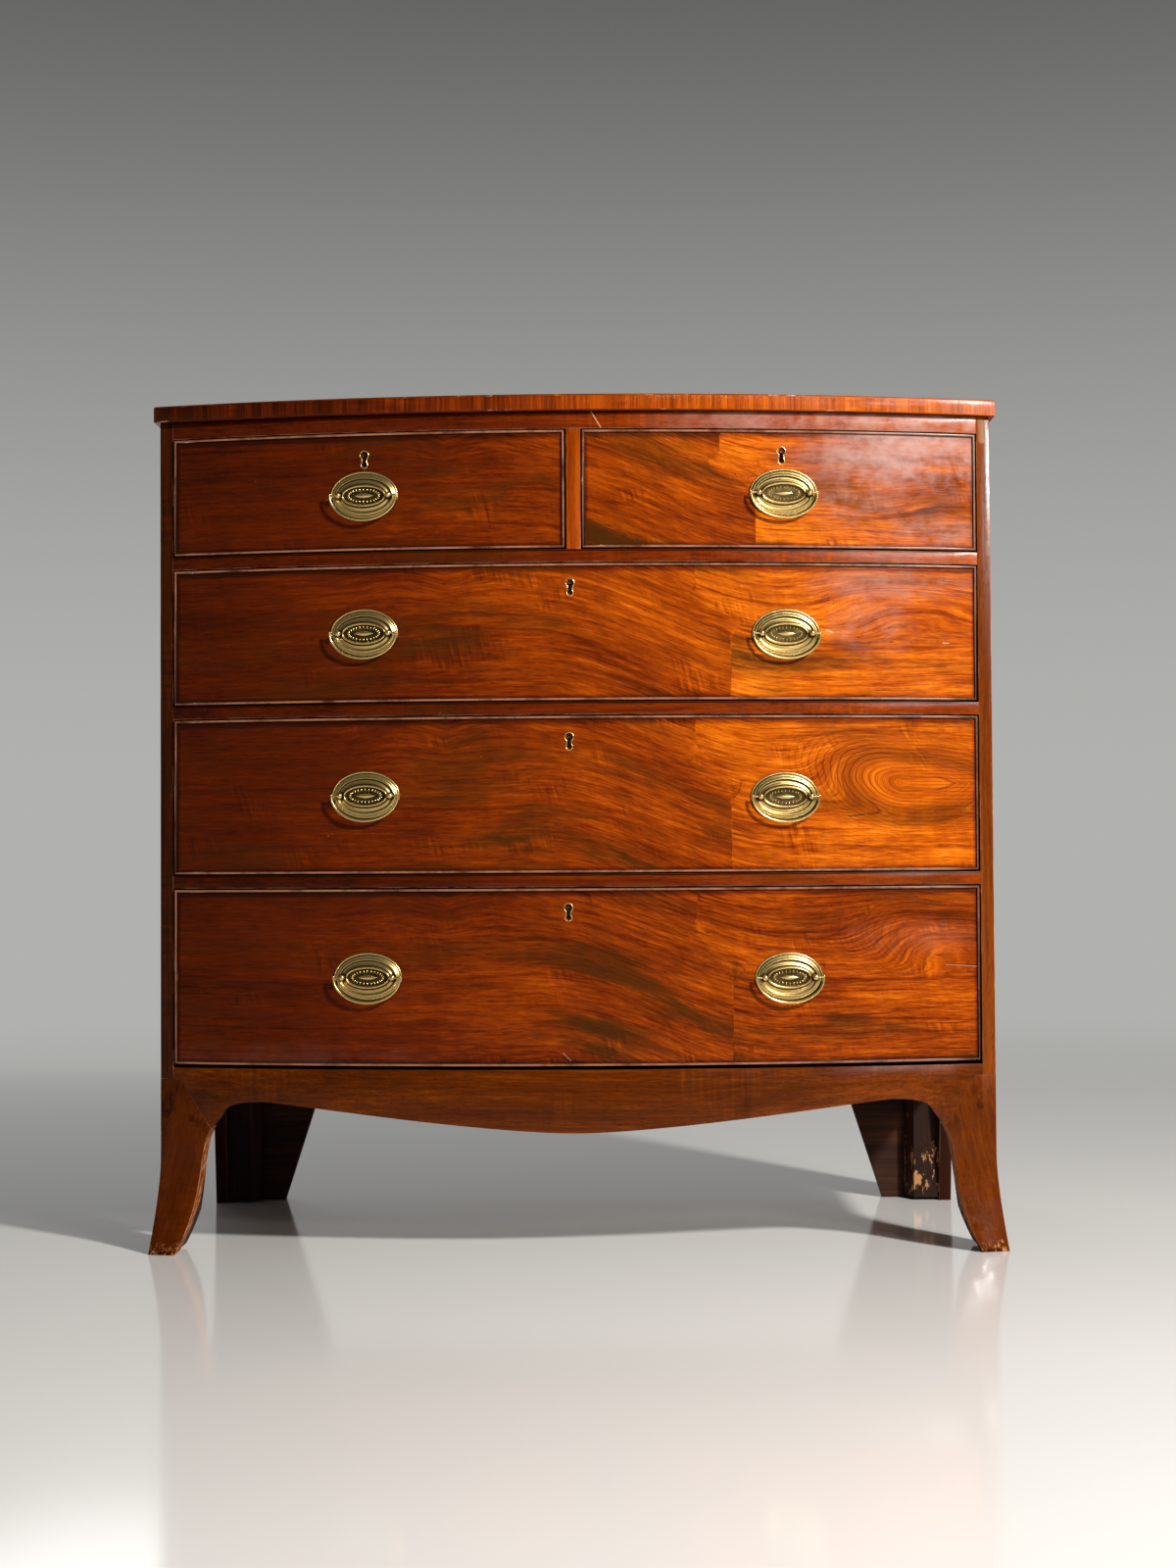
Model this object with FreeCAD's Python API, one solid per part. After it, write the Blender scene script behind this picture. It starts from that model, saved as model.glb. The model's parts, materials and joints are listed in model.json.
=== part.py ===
import FreeCAD, Part
import math
import os

# Bow-fronted mahogany chest of drawers: two short drawers over three long ones, on splayed
# bracket feet. Millimetres, +Z up, the drawers open towards -Y. The origin is on the floor
# under the middle of the whole outline.

# ---- Carcase -------------------------------------------------------------------------------
CASE_WIDTH = 1050.0
CASE_DEPTH = 480.0              # front corner of a side to the back of the case
BOW_RISE = 66.0                 # how far the middle of the front stands before its corners
CASE_TOP = 1046.0               # underside of the top board
TOP_THICKNESS = 20.0
TOP_SIDE_OVERHANG = 7.0
TOP_FRONT_OVERHANG = 9.0
TOP_ARRIS = 1.5                 # worn edge round the top board
SIDE_THICKNESS = 17.0
TOP_RAIL_HEIGHT = 22.0
RAIL_THICKNESS = 16.0
RAIL_DEPTH = 45.0               # at the sides; the back edges of the rails are straight
BACK_RAIL_DEPTH = 70.0
OPENING_HEIGHTS = (150.0, 173.0, 197.0, 225.0)     # from the top row down
BOTTOM_THICKNESS = 14.0
DIVIDER_THICKNESS = 18.0
HOUSING_DEPTH = 6.0             # how far rails and runners are let into the sides
HOUSING_STOP = 14.0             # the housings stop this far behind the front edge
CASE_TAIL_PITCH = 75.0
RAIL_TAIL = (4.0, 26.0)         # start and width of the dovetail on a top rail
BACK_THICKNESS = 11.0
BACK_REBATE = 8.0
BACK_BOARD_COUNT = 5
BACK_JOINT = 0.4
RUNNER_WIDTH = 45.0
CENTRE_RUNNER_WIDTH = 60.0
GUIDE_HEIGHT = 20.0
DUST_THICKNESS = 8.0
DUST_GROOVE = 6.0

# ---- Base ----------------------------------------------------------------------------------
APRON_THICKNESS = 22.0
SPLAY_TOP = 120.0               # height at which a front foot starts to flare
SPLAY_SIDE = 11.5               # flare of the toe to the side
SPLAY_FRONT = 25.0              # flare of the toe to the front
SPLAY_BEND = 80.0               # height where the toe's slope, carried on, meets the upright
MITRE_LOW = (455.0, 149.2)      # x, z where apron and foot part, below the lower edge
MITRE_HIGH = (499.0, 217.0)
# lower edge of the front from the middle (x = 0) to the toe of the right foot: poles of
# cubic curves joined end to end, as x, z
FRONT_EDGE = ((0.0, 153.0), (115.0, 153.0), (372.0, 190.0), (392.0, 190.0),
              (446.0, 190.0), (441.0, 176.0), (451.0, 165.0),
              (484.0, 130.0), (459.0, 82.0), (502.5, 0.0))
# lower edge of a side from the front toe, as distance behind the corner, z
SIDE_EDGE = ((15.0, 0.0), (32.0, 34.0), (42.0, 80.0), (48.0, 121.0),
             (54.0, 158.0), (72.0, 190.0), (120.0, 190.0))
SIDE_EDGE_REAR = ((352.0, 190.0), (380.0, 190.0), (398.0, 178.0), (405.0, 158.0))
REAR_FOOT_TOE = 428.0           # where the rear foot meets the floor, behind the corner
REAR_BRACKET_THICKNESS = 18.0
REAR_BRACKET_TOP = 361.0        # x of the slanting edge at the case
REAR_BRACKET_TOE = 431.0        # x of the slanting edge at the floor
REAR_BLOCK = (45.0, 32.0)        # width, depth
REAR_BLOCK_CHAMFER = (10.0, 20.0)
FRONT_BLOCK = 30.0
FOOT_END = 447.0                # how near the middle the plan of a front foot reaches
BLOCK_FLOOR_GAP = 4.0
APRON_BLOCK = (60.0, 28.0, 28.0)
APRON_BLOCK_PLACES = (-240.0, 0.0, 240.0)

# ---- Drawers -------------------------------------------------------------------------------
DRAWER_SIDE_GAP = 1.8
DRAWER_TOP_GAP = 1.5
RUNNING_CLEARANCE = 0.4         # drawer sides above their runners
FRONT_THICKNESS = 22.0
LAP = 8.0                       # wood left in front of the dovetails, depth of the beads
SIDE_BOARD = 10.0
BACK_BOARD = 9.0
SIDE_DROP = 5.0                 # drawer sides stand this far below the top of the front
DRAWER_BACK_GAP = 7.0
PANEL_THICKNESS = 7.0
PANEL_RISE = 9.0                # bottom panel above the lower edge of the sides
GROOVE = 5.0
TAIL_PITCH = 62.0
TAIL_SLOPE = 1.0 / 6.0
TAIL_SHARE = 0.66               # width of a tail at its root, as a share of the pitch
BEAD = 3.5
BEAD_PROUD = 2.4
STOP_SIZE = (44.0, 10.0, 8.0)
STOP_GAP = 0.5
STOP_PLACES = (0.25, 0.75)      # across the width of a drawer

# name, left x, right x, row, gap under the front, keyhole (x, z), handles (x, z)
INNER = CASE_WIDTH / 2 - SIDE_THICKNESS
HALF_DIVIDER = DIVIDER_THICKNESS / 2
DRAWERS = (
    ("short_left", -INNER, -HALF_DIVIDER, 0, 1.5, (-261.0, 990.0), ((-261.0, 944.0),)),
    ("short_right", HALF_DIVIDER, INNER, 0, 1.5, (259.0, 991.0), ((261.0, 943.5),)),
    ("long_upper", -INNER, INNER, 1, 1.5, (-5.0, 827.0), ((-261.5, 772.0), (263.0, 768.5))),
    ("long_middle", -INNER, INNER, 2, 1.5, (-7.0, 636.0), ((-260.0, 570.0), (260.0, 566.0))),
    ("long_lower", -INNER, INNER, 3, 4.5, (-9.0, 425.0), ((-258.0, 345.0), (263.5, 342.5))),
)

# ---- Brasses and locks, drawn facing -Y on the face of a drawer ----------------------------
PLATE_HALF_WIDTH = 43.0
PLATE_HALF_HEIGHT = 31.0
PLATE_RINGS = ((1.0, 0.0), (1.0, 1.4), (0.92, 2.4), (0.5, 4.0))     # share of size, height
PLATE_SIDES = 16
POST_SPACING = 63.5
POST_STANDOFF = 9.0
POST_RINGS = ((2.4, 5.6), (3.7, 7.3), (3.7, 10.7), (2.2, 12.4))     # radius, height
POST_SIDES = 6
SHANK = 4.0
SHANK_LENGTH = 27.0
SHANK_PLAY = 0.3
PLATE_HOLE = 5.2
PIN_RADIUS = 1.2
PIN_HOLE_RADIUS = 1.25
PIN_SIDES = 6
PIN_END = 28.6
BAIL_HALF_WIDTH = 42.0
BAIL_DROP = 31.0
BAIL_RADIUS = 1.9
BAIL_STEPS = 8
BAIL_SIDES = 5
BAIL_TIP = 2.0
THREAD_UPPER = (5.4, 6.0)       # height of the round above the middle, outer radius
THREAD_LOWER = (-6.8, 4.7)
THREAD_WAIST = 3.6
THREAD_WALL = 1.2
THREAD_DEPTH = 3.0
THREAD_SIDES = 5
KEYWAY = (4.4, 16.0)            # slot behind the brass thread
LOCK_WIDTH = 50.0
LOCK_PLATE_WIDTH = 60.0
LOCK_PLATE = 2.0
LOCK_BOX_DEPTH = 8.0
LOCK_BELOW_KEY = 16.0
LOCK_LIP = 3.0                  # back plate beyond the box
BOLT = (24.0, 4.4, 20.0)
BOLT_PLAY = 0.3
MORTISE_DEPTH = 9.0
DRILL_PIN = 1.5

# ---- Worked out from the dimensions above --------------------------------------------------
HALF = CASE_WIDTH / 2
BOW_RADIUS = (HALF ** 2 + BOW_RISE ** 2) / (2 * BOW_RISE)
CORNER_Y = (BOW_RISE + TOP_FRONT_OVERHANG - CASE_DEPTH) / 2
BACK_Y = CORNER_Y + CASE_DEPTH
BOW_CENTRE_Y = CORNER_Y + BOW_RADIUS - BOW_RISE
APRON_RADIUS = BOW_RADIUS - APRON_THICKNESS
RAIL_BACK_Y = CORNER_Y + RAIL_DEPTH
INNER_BACK_Y = BACK_Y - BACK_THICKNESS
FLOORS = []
level = CASE_TOP - TOP_RAIL_HEIGHT
for opening_height in OPENING_HEIGHTS:
    level -= opening_height
    FLOORS.append(level)
    level -= RAIL_THICKNESS
CASE_BOTTOM = FLOORS[-1] - BOTTOM_THICKNESS

SHAPES = {}


def vector(x, y, z):
    return FreeCAD.Vector(x, y, z)


def box(x0, x1, y0, y1, z0, z1):
    return Part.makeBox(x1 - x0, y1 - y0, z1 - z0, vector(x0, y0, z0))


def bow_y(x, radius):
    """Y of a vertical surface that is concentric with the bow."""
    return BOW_CENTRE_Y - math.sqrt(radius ** 2 - x ** 2)


def bow_point(x, radius):
    return vector(x, bow_y(x, radius), 0)


def bow_edge(x0, x1, radius):
    middle = bow_point((x0 + x1) / 2, radius)
    return Part.Arc(bow_point(x0, radius), middle, bow_point(x1, radius)).toShape()


def raised(edges, z0, z1):
    """A plan outline of edges, drawn at z = 0, carried from z0 up to z1."""
    face = Part.Face(Part.Wire(edges))
    face.translate(vector(0, 0, z0))
    return face.extrude(vector(0, 0, z1 - z0))


def line(start, end):
    return Part.makeLine(start, end)


def bow_strip(x0, x1, front_radius, back_radius, z0, z1):
    """A curved board between two arcs of the bow."""
    front, back = bow_edge(x0, x1, front_radius), bow_edge(x1, x0, back_radius)
    right = line(bow_point(x1, front_radius), bow_point(x1, back_radius))
    left = line(bow_point(x0, back_radius), bow_point(x0, front_radius))
    return raised([front, right, back, left], z0, z1)


def bowed_board(x0, x1, radius, y_back, z0, z1):
    """A board with a bowed front edge and a straight back."""
    right_back, left_back = vector(x1, y_back, 0), vector(x0, y_back, 0)
    edges = [bow_edge(x0, x1, radius), line(bow_point(x1, radius), right_back),
             line(right_back, left_back), line(left_back, bow_point(x0, radius))]
    return raised(edges, z0, z1)


def polygon_face(points):
    return Part.Face(Part.makePolygon(points + points[:1]))


def prism(points, direction):
    """A straight-sided outline extruded along direction."""
    return polygon_face(points).extrude(direction)


def prism_along_y(outline, y0, y1):
    return prism([vector(x, y0, z) for x, z in outline], vector(0, y1 - y0, 0))


def mirrored(shape):
    return shape.mirror(vector(0, 0, 0), vector(1, 0, 0))


def fused(shapes):
    return shapes[0].multiFuse(shapes[1:]).removeSplitter()


def on_face(shape, x, z):
    """Turns and moves a fitting, drawn facing -Y at the origin, onto the bow at x, z."""
    placed = shape.copy()
    angle = math.degrees(math.asin(x / BOW_RADIUS))
    placed.rotate(vector(0, 0, 0), vector(0, 0, 1), angle)
    placed.translate(vector(x, bow_y(x, BOW_RADIUS), z))
    return placed


def keep(name, *solids):
    """Stores a node, one solid or a group of separate ones."""
    parts = [solid for shape in solids for solid in shape.Solids]
    SHAPES[name] = parts[0] if len(parts) == 1 else Part.makeCompound(parts)


# ---- Dovetails -----------------------------------------------------------------------------

def tail_row(low, high, spacing):
    """Centres and half widths, at the narrow end, of evenly set tails between two levels."""
    count = max(1, round((high - low) / spacing))
    pitch = (high - low) / count
    return [(low + pitch * (n + 0.5), pitch * TAIL_SHARE / 2) for n in range(count)]


def drawer_tails(x0, x1, y_narrow, y_wide, low, high):
    """Tails on the end of a drawer side, widening from y_narrow to y_wide."""
    spread = abs(y_wide - y_narrow) * TAIL_SLOPE
    tails = []
    for middle, half in tail_row(low, high, TAIL_PITCH):
        outline = [vector(x0, y_narrow, middle - half), vector(x0, y_wide, middle - half - spread),
                   vector(x0, y_wide, middle + half + spread), vector(x0, y_narrow, middle + half)]
        tails.append(prism(outline, vector(x1 - x0, 0, 0)))
    return tails


def case_tails(x_narrow, x_wide, y0, y1, z0, z1):
    """Lapped tails on the end of a case board, widening towards the side of the case."""
    spread = abs(x_wide - x_narrow) * TAIL_SLOPE
    tails = []
    for middle, half in tail_row(y0, y1, CASE_TAIL_PITCH):
        outline = [vector(x_narrow, middle - half, z0), vector(x_wide, middle - half - spread, z0),
                   vector(x_wide, middle + half + spread, z0), vector(x_narrow, middle + half, z0)]
        tails.append(prism(outline, vector(0, 0, z1 - z0)))
    return tails


# ---- Carcase -------------------------------------------------------------------------------

def make_top_board():
    half = HALF + TOP_SIDE_OVERHANG
    radius = BOW_RADIUS + TOP_FRONT_OVERHANG
    board = bowed_board(-half, half, radius, BACK_Y, CASE_TOP, CASE_TOP + TOP_THICKNESS)
    edges = [edge for edge in board.Edges
             if edge.BoundBox.ZMin > CASE_TOP + 1 and edge.BoundBox.ZLength < 1
             and edge.BoundBox.YMin < BACK_Y - 1]
    keep("top_board", board.makeChamfer(TOP_ARRIS, edges))


def both_ends(shape):
    return [shape, mirrored(shape)]


def make_rail(floor):
    """A drawer rail, its ends let into stopped housings in the sides."""
    z0 = floor - RAIL_THICKNESS
    rail = bowed_board(-INNER, INNER, BOW_RADIUS, RAIL_BACK_Y, z0, floor)
    tongue = box(INNER, INNER + HOUSING_DEPTH, CORNER_Y + HOUSING_STOP, RAIL_BACK_Y, z0, floor)
    return fused([rail] + both_ends(tongue))


def make_top_rails():
    """Front and back rails under the top, each dovetailed down into the sides."""
    low, high = CASE_TOP - TOP_RAIL_HEIGHT, CASE_TOP
    back_y = INNER_BACK_Y - BACK_RAIL_DEPTH
    front = bowed_board(-INNER, INNER, BOW_RADIUS, RAIL_BACK_Y, low, high)
    back = box(-INNER, INNER, back_y, INNER_BACK_Y, low, high)
    start, width = RAIL_TAIL
    rails = []
    for rail, y0 in ((front, CORNER_Y + HOUSING_STOP + start), (back, back_y + start)):
        tails = case_tails(INNER, HALF - HOUSING_DEPTH, y0, y0 + width, low, high)
        rails.append(fused([rail] + both_ends(tails[0])))
    return rails


def make_runners():
    """Side runners at each rail, the wide one between the short drawers, and its guide."""
    runners = []
    for floor in FLOORS[:-1]:
        runner = box(-INNER - HOUSING_DEPTH, -INNER + RUNNER_WIDTH, RAIL_BACK_Y, INNER_BACK_Y,
                     floor - RAIL_THICKNESS, floor)
        runners += both_ends(runner)
    half, floor = CENTRE_RUNNER_WIDTH / 2, FLOORS[0]
    runners.append(box(-half, half, RAIL_BACK_Y, INNER_BACK_Y, floor - RAIL_THICKNESS, floor))
    guide = box(-HALF_DIVIDER, HALF_DIVIDER, RAIL_BACK_Y, INNER_BACK_Y,
                floor, floor + GUIDE_HEIGHT)
    return runners, guide


def make_dust_boards():
    """Thin boards between the runners, grooved into them and into the rails."""
    boards = []
    edge = INNER - RUNNER_WIDTH + DUST_GROOVE
    for floor in FLOORS[:-1]:
        z0 = floor - (RAIL_THICKNESS + DUST_THICKNESS) / 2
        spans = [(-edge, edge)]
        if floor == FLOORS[0]:
            inner = CENTRE_RUNNER_WIDTH / 2 - DUST_GROOVE
            spans = [(-edge, -inner), (inner, edge)]
        for x0, x1 in spans:
            boards.append(box(x0, x1, RAIL_BACK_Y - DUST_GROOVE, INNER_BACK_Y,
                              z0, z0 + DUST_THICKNESS))
    return boards


def make_divider():
    """Upright between the short drawers, tenoned into the rails above and below."""
    floor, ceiling = FLOORS[0], FLOORS[0] + OPENING_HEIGHTS[0]
    post = bowed_board(-HALF_DIVIDER, HALF_DIVIDER, BOW_RADIUS, RAIL_BACK_Y, floor, ceiling)
    tenon = box(-HALF_DIVIDER, HALF_DIVIDER, bow_y(0, BOW_RADIUS) + HOUSING_STOP,
                RAIL_BACK_Y - HOUSING_STOP, floor - HOUSING_DEPTH, ceiling + HOUSING_DEPTH)
    return fused([post, tenon])


def make_stops():
    """Small blocks behind the drawer fronts that stop the drawers when they are shut."""
    length, depth, height = STOP_SIZE
    stops = []
    for _, x0, x1, row, _, _, _ in DRAWERS:
        for place in STOP_PLACES:
            x = x0 + (x1 - x0) * place
            outer = abs(x) + length / 2
            y0 = bow_y(outer, BOW_RADIUS - FRONT_THICKNESS) + STOP_GAP
            stops.append(box(x - length / 2, x + length / 2, y0, y0 + depth,
                             FLOORS[row], FLOORS[row] + height))
    return stops


def make_back_boards():
    """Upright boards nailed into the rebates of the sides."""
    half = INNER + BACK_REBATE
    width = (2 * half + BACK_JOINT) / BACK_BOARD_COUNT
    boards = []
    for n in range(BACK_BOARD_COUNT):
        x0 = -half + n * width
        boards.append(box(x0, x0 + width - BACK_JOINT, INNER_BACK_Y, BACK_Y,
                          CASE_BOTTOM, CASE_TOP))
    return boards


def make_bottom_board():
    """Bottom of the case, which the lowest drawer runs on, dovetailed up into the sides."""
    z0, z1 = CASE_BOTTOM, FLOORS[-1]
    board = bowed_board(-INNER, INNER, APRON_RADIUS, INNER_BACK_Y, z0, z1)
    y0 = bow_y(INNER, APRON_RADIUS)
    tails = case_tails(INNER, HALF - HOUSING_DEPTH, y0, INNER_BACK_Y, z0, z1)
    return fused([board] + [end for tail in tails for end in both_ends(tail)])


def lock_mortise(drawer):
    """Slot in the rail above a drawer that its lock bolt rises into."""
    _, _, _, row, _, (x, _), _ = drawer
    width, thickness, _ = BOLT
    play = 2 * BOLT_PLAY
    y_mid = FRONT_THICKNESS - LOCK_PLATE - LOCK_BOX_DEPTH / 2
    slot = box(-width / 2 - play, width / 2 + play, y_mid - thickness / 2 - play,
               y_mid + thickness / 2 + play, 0, MORTISE_DEPTH)
    return on_face(slot, x, FLOORS[row] + OPENING_HEIGHTS[row])


def make_carcase():
    make_top_board()
    front_rail, back_rail = make_top_rails()
    rails = [make_rail(floor) for floor in FLOORS[:-1]]
    runners, guide = make_runners()
    dust_boards = make_dust_boards()
    divider = make_divider()
    bottom = make_bottom_board()
    back_boards = make_back_boards()
    front_rail = front_rail.cut([divider])
    rails[0] = rails[0].cut([divider])
    for drawer in DRAWERS:
        row = drawer[3]
        slot = lock_mortise(drawer)
        if row == 0:
            front_rail = front_rail.cut(slot)
        else:
            rails[row - 1] = rails[row - 1].cut(slot)
    rails = [rail.cut(dust_boards) for rail in rails]
    runners = [runner.cut(dust_boards) for runner in runners]
    left = bowed_board(-HALF, -INNER, BOW_RADIUS, BACK_Y, CASE_BOTTOM, CASE_TOP)
    right = mirrored(left)
    let_in = [front_rail, back_rail, bottom] + rails + runners + back_boards
    keep("side_left", left.cut(let_in))
    keep("side_right", right.cut(let_in))
    keep("top_rail", front_rail)
    keep("top_back_rail", back_rail)
    keep("centre_divider", divider)
    for number, rail in enumerate(rails, 1):
        keep("drawer_rail_%d" % number, rail)
    keep("drawer_runners", *runners, guide)
    keep("dust_boards", *dust_boards)
    keep("drawer_stops", *make_stops())
    keep("bottom_board", bottom)
    keep("back_boards", *back_boards)


# ---- Base ----------------------------------------------------------------------------------

def cubic_edges(poles):
    """Cubic curves joined end to end; each takes the last pole of the one before."""
    edges = []
    for n in range(0, len(poles) - 1, 3):
        curve = Part.BezierCurve()
        curve.setPoles(poles[n:n + 4])
        edges.append(curve.toShape())
    return edges


def carried(outline, x, y):
    """Carries a level plan up from the floor, along the flare and on to the case above x, y."""
    bend = Part.BezierCurve()
    bend.setPoles([vector(x - SPLAY_SIDE, y - SPLAY_FRONT, 0), vector(x, y, SPLAY_BEND),
                   vector(x, y, SPLAY_TOP)])
    upright = line(vector(x, y, SPLAY_TOP), vector(x, y, CASE_BOTTOM))
    section = Part.Wire(outline)
    section.translate(vector(-SPLAY_SIDE, -SPLAY_FRONT, 0))
    sweep = Part.BRepOffsetAPI.MakePipeShell(Part.Wire([bend.toShape(), upright]))
    sweep.setTrihedronMode(vector(0, 0, 0), vector(0, 0, 1))
    sweep.add(section, False, False)
    sweep.build()
    sweep.makeSolid()
    return sweep.shape()


def foot_plan(front_end, side_end):
    """L-shaped plan of the left front foot: bowed front bracket and straight side bracket."""
    corner = bow_point(-HALF, BOW_RADIUS)
    inner = vector(-INNER, CORNER_Y + SIDE_THICKNESS * SPLAY_FRONT / SPLAY_SIDE, 0)
    inner_radius = math.hypot(inner.x, BOW_CENTRE_Y - inner.y)
    front_stop, back_stop = bow_point(front_end, BOW_RADIUS), bow_point(front_end, inner_radius)
    side_inner = vector(-INNER, CORNER_Y + side_end, 0)
    side_outer = vector(-HALF, CORNER_Y + side_end, 0)
    edges = [bow_edge(-HALF, front_end, BOW_RADIUS), line(front_stop, back_stop),
             bow_edge(front_end, -INNER, inner_radius), line(inner, side_inner),
             line(side_inner, side_outer), line(side_outer, corner)]
    return edges, inner


def front_opening():
    """Everything under the shaped lower edge of the front, to be cut away."""
    y = CORNER_Y - BOW_RISE - SPLAY_FRONT
    right = [vector(x, y, z) for x, z in FRONT_EDGE]
    left = [vector(-point.x, y, point.z) for point in reversed(right)]
    below_right, below_left = vector(right[-1].x, y, -1), vector(left[0].x, y, -1)
    edges = cubic_edges(left) + cubic_edges(right)
    edges += [line(right[-1], below_right), line(below_right, below_left),
              line(below_left, left[0])]
    return Part.Face(Part.Wire(edges)).extrude(vector(0, CASE_DEPTH / 2, 0))


def side_opening():
    """Everything under the shaped lower edge of the left side, to be cut away."""
    x = -HALF - SPLAY_SIDE - 1
    front = [vector(x, CORNER_Y + d, z) for d, z in SIDE_EDGE]
    rear = [vector(x, CORNER_Y + d, z) for d, z in SIDE_EDGE_REAR]
    toe = vector(x, CORNER_Y + REAR_FOOT_TOE, 0)
    below_toe, below_front = vector(x, toe.y, -1), vector(x, front[0].y, -1)
    edges = cubic_edges(front) + [line(front[-1], rear[0])] + cubic_edges(rear)
    edges += [line(rear[-1], toe), line(toe, below_toe), line(below_toe, below_front),
              line(below_front, front[0])]
    return Part.Face(Part.Wire(edges)).extrude(vector(SPLAY_SIDE + SIDE_THICKNESS + 2, 0, 0))


def mitre_cutter():
    """What lies in front of the plane in which front and side brackets meet."""
    corner, flare = vector(-HALF, CORNER_Y, -1), vector(SPLAY_SIDE, SPLAY_FRONT, 0)
    reach = HALF / (2 * SPLAY_FRONT)
    outside, inside = corner - reach * flare, corner + reach * flare
    return prism([outside, inside, vector(0, outside.y, -1)], vector(0, 0, FLOORS[-1] + 2))


def foot_zone():
    """What lies outside the left mitre between apron and foot, seen from the front."""
    (x_low, z_low), (x_high, z_high) = MITRE_LOW, MITRE_HIGH
    outer = HALF + 2 * SPLAY_SIDE
    outline = [(-x_low, z_low), (-x_high, z_high), (-outer, z_high), (-outer, -1), (-x_low, -1)]
    return prism_along_y(outline, CORNER_Y - CASE_DEPTH / 2, CORNER_Y + CASE_DEPTH / 2)


def make_base():
    opening, zone, mitre = front_opening(), foot_zone(), mitre_cutter()
    apron = bow_strip(-INNER, INNER, BOW_RADIUS, APRON_RADIUS, FRONT_EDGE[0][1] - 1, FLOORS[-1])
    apron = apron.cut([opening, zone, mirrored(zone)])
    keep("apron", apron)

    side_end = SIDE_EDGE[-1][0]
    plan, inner = foot_plan(-FOOT_END, side_end)
    foot = carried(plan, -HALF, CORNER_Y)
    front_foot = foot.common(mitre).common(zone).cut(opening)
    keep("front_foot_left", front_foot)
    keep("front_foot_right", mirrored(front_foot))

    board = box(-HALF, -INNER, CORNER_Y + side_end, BACK_Y, 0, CASE_BOTTOM)
    plinth = fused([foot.cut(mitre), board]).cut(side_opening())
    keep("side_plinth_left", plinth)
    keep("side_plinth_right", mirrored(plinth))

    y0, y1 = BACK_Y - REAR_BRACKET_THICKNESS, BACK_Y
    outline = [(-INNER, 0), (-REAR_BRACKET_TOE, 0), (-REAR_BRACKET_TOP, CASE_BOTTOM),
               (-INNER, CASE_BOTTOM)]
    bracket = prism_along_y(outline, y0, y1)
    keep("rear_foot_left", bracket)
    keep("rear_foot_right", mirrored(bracket))

    corners = [inner, inner + vector(FRONT_BLOCK, 0, 0),
               inner + vector(FRONT_BLOCK, FRONT_BLOCK, 0), inner + vector(0, FRONT_BLOCK, 0)]
    ring = [line(a, b) for a, b in zip(corners, corners[1:] + corners[:1])]
    clear = box(-HALF - SPLAY_SIDE, 0, CORNER_Y - SPLAY_FRONT, 0, 0, BLOCK_FLOOR_GAP)
    front_block = carried(ring, inner.x, inner.y)
    front_block = front_block.cut([foot, opening, side_opening(), clear])
    block_x, block_y = -INNER + REAR_BLOCK[0], y0 - REAR_BLOCK[1]
    chamfer_x, chamfer_y = block_x - REAR_BLOCK_CHAMFER[0], block_y + REAR_BLOCK_CHAMFER[1]
    block_plan = [(-INNER, y0), (-INNER, block_y), (chamfer_x, block_y), (block_x, chamfer_y),
                  (block_x, y0)]
    rear_block = prism([vector(x, y, BLOCK_FLOOR_GAP) for x, y in block_plan],
                       vector(0, 0, CASE_BOTTOM - BLOCK_FLOOR_GAP))
    length, depth, height = APRON_BLOCK
    apron_blocks = []
    for x in APRON_BLOCK_PLACES:
        x_in, x_out = abs(x) - length / 2, abs(x) + length / 2
        block = box(x - length / 2, x + length / 2, bow_y(max(x_in, 0), APRON_RADIUS),
                    bow_y(x_out, APRON_RADIUS) + depth, CASE_BOTTOM - height, CASE_BOTTOM)
        apron_blocks.append(block.cut(apron))
    keep("glue_blocks", front_block, mirrored(front_block), rear_block, mirrored(rear_block),
         *apron_blocks)


# ---- Drawers -------------------------------------------------------------------------------

def bead_frame(x0, x1, z0, z1):
    """Cock beads round a drawer front: two sides mitred into a top and a bottom one.

    The top one covers the whole thickness of the front, the others lie in rebates."""
    nose, rear = BOW_RADIUS + BEAD_PROUD, BOW_RADIUS - LAP
    sides = []
    for outer, inner in ((x0, x0 + BEAD), (x1, x1 - BEAD)):
        mitred = prism_along_y([(outer, z0), (outer, z1), (inner, z1 - BEAD), (inner, z0 + BEAD)],
                               bow_y(0, nose) - 1, bow_y(HALF, rear))
        strip = bow_strip(min(outer, inner), max(outer, inner), nose, rear, z0, z1)
        sides.append(strip.common(mitred))
    top = bow_strip(x0, x1, nose, BOW_RADIUS - FRONT_THICKNESS, z1 - BEAD, z1)
    bottom = bow_strip(x0, x1, nose, rear, z0, z0 + BEAD)
    return sides + [top.cut(sides), bottom.cut(sides)]


def make_front(x0, x1, z0, z1):
    """Drawer front below its top bead, rebated for the other three."""
    front, rear = BOW_RADIUS + 1, BOW_RADIUS - LAP
    board = bow_strip(x0, x1, BOW_RADIUS, BOW_RADIUS - FRONT_THICKNESS, z0, z1 - BEAD)
    return board.cut([bow_strip(x0 - 1, x1 + 1, front, rear, z0 - 1, z0 + BEAD),
                      bow_strip(x0 - 1, x0 + BEAD, front, rear, z0, z1),
                      bow_strip(x1 - BEAD, x1 + 1, front, rear, z0, z1)])


def oval_point(half_width, half_height, turn):
    return half_width * math.cos(turn), half_height * math.sin(turn)


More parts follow.
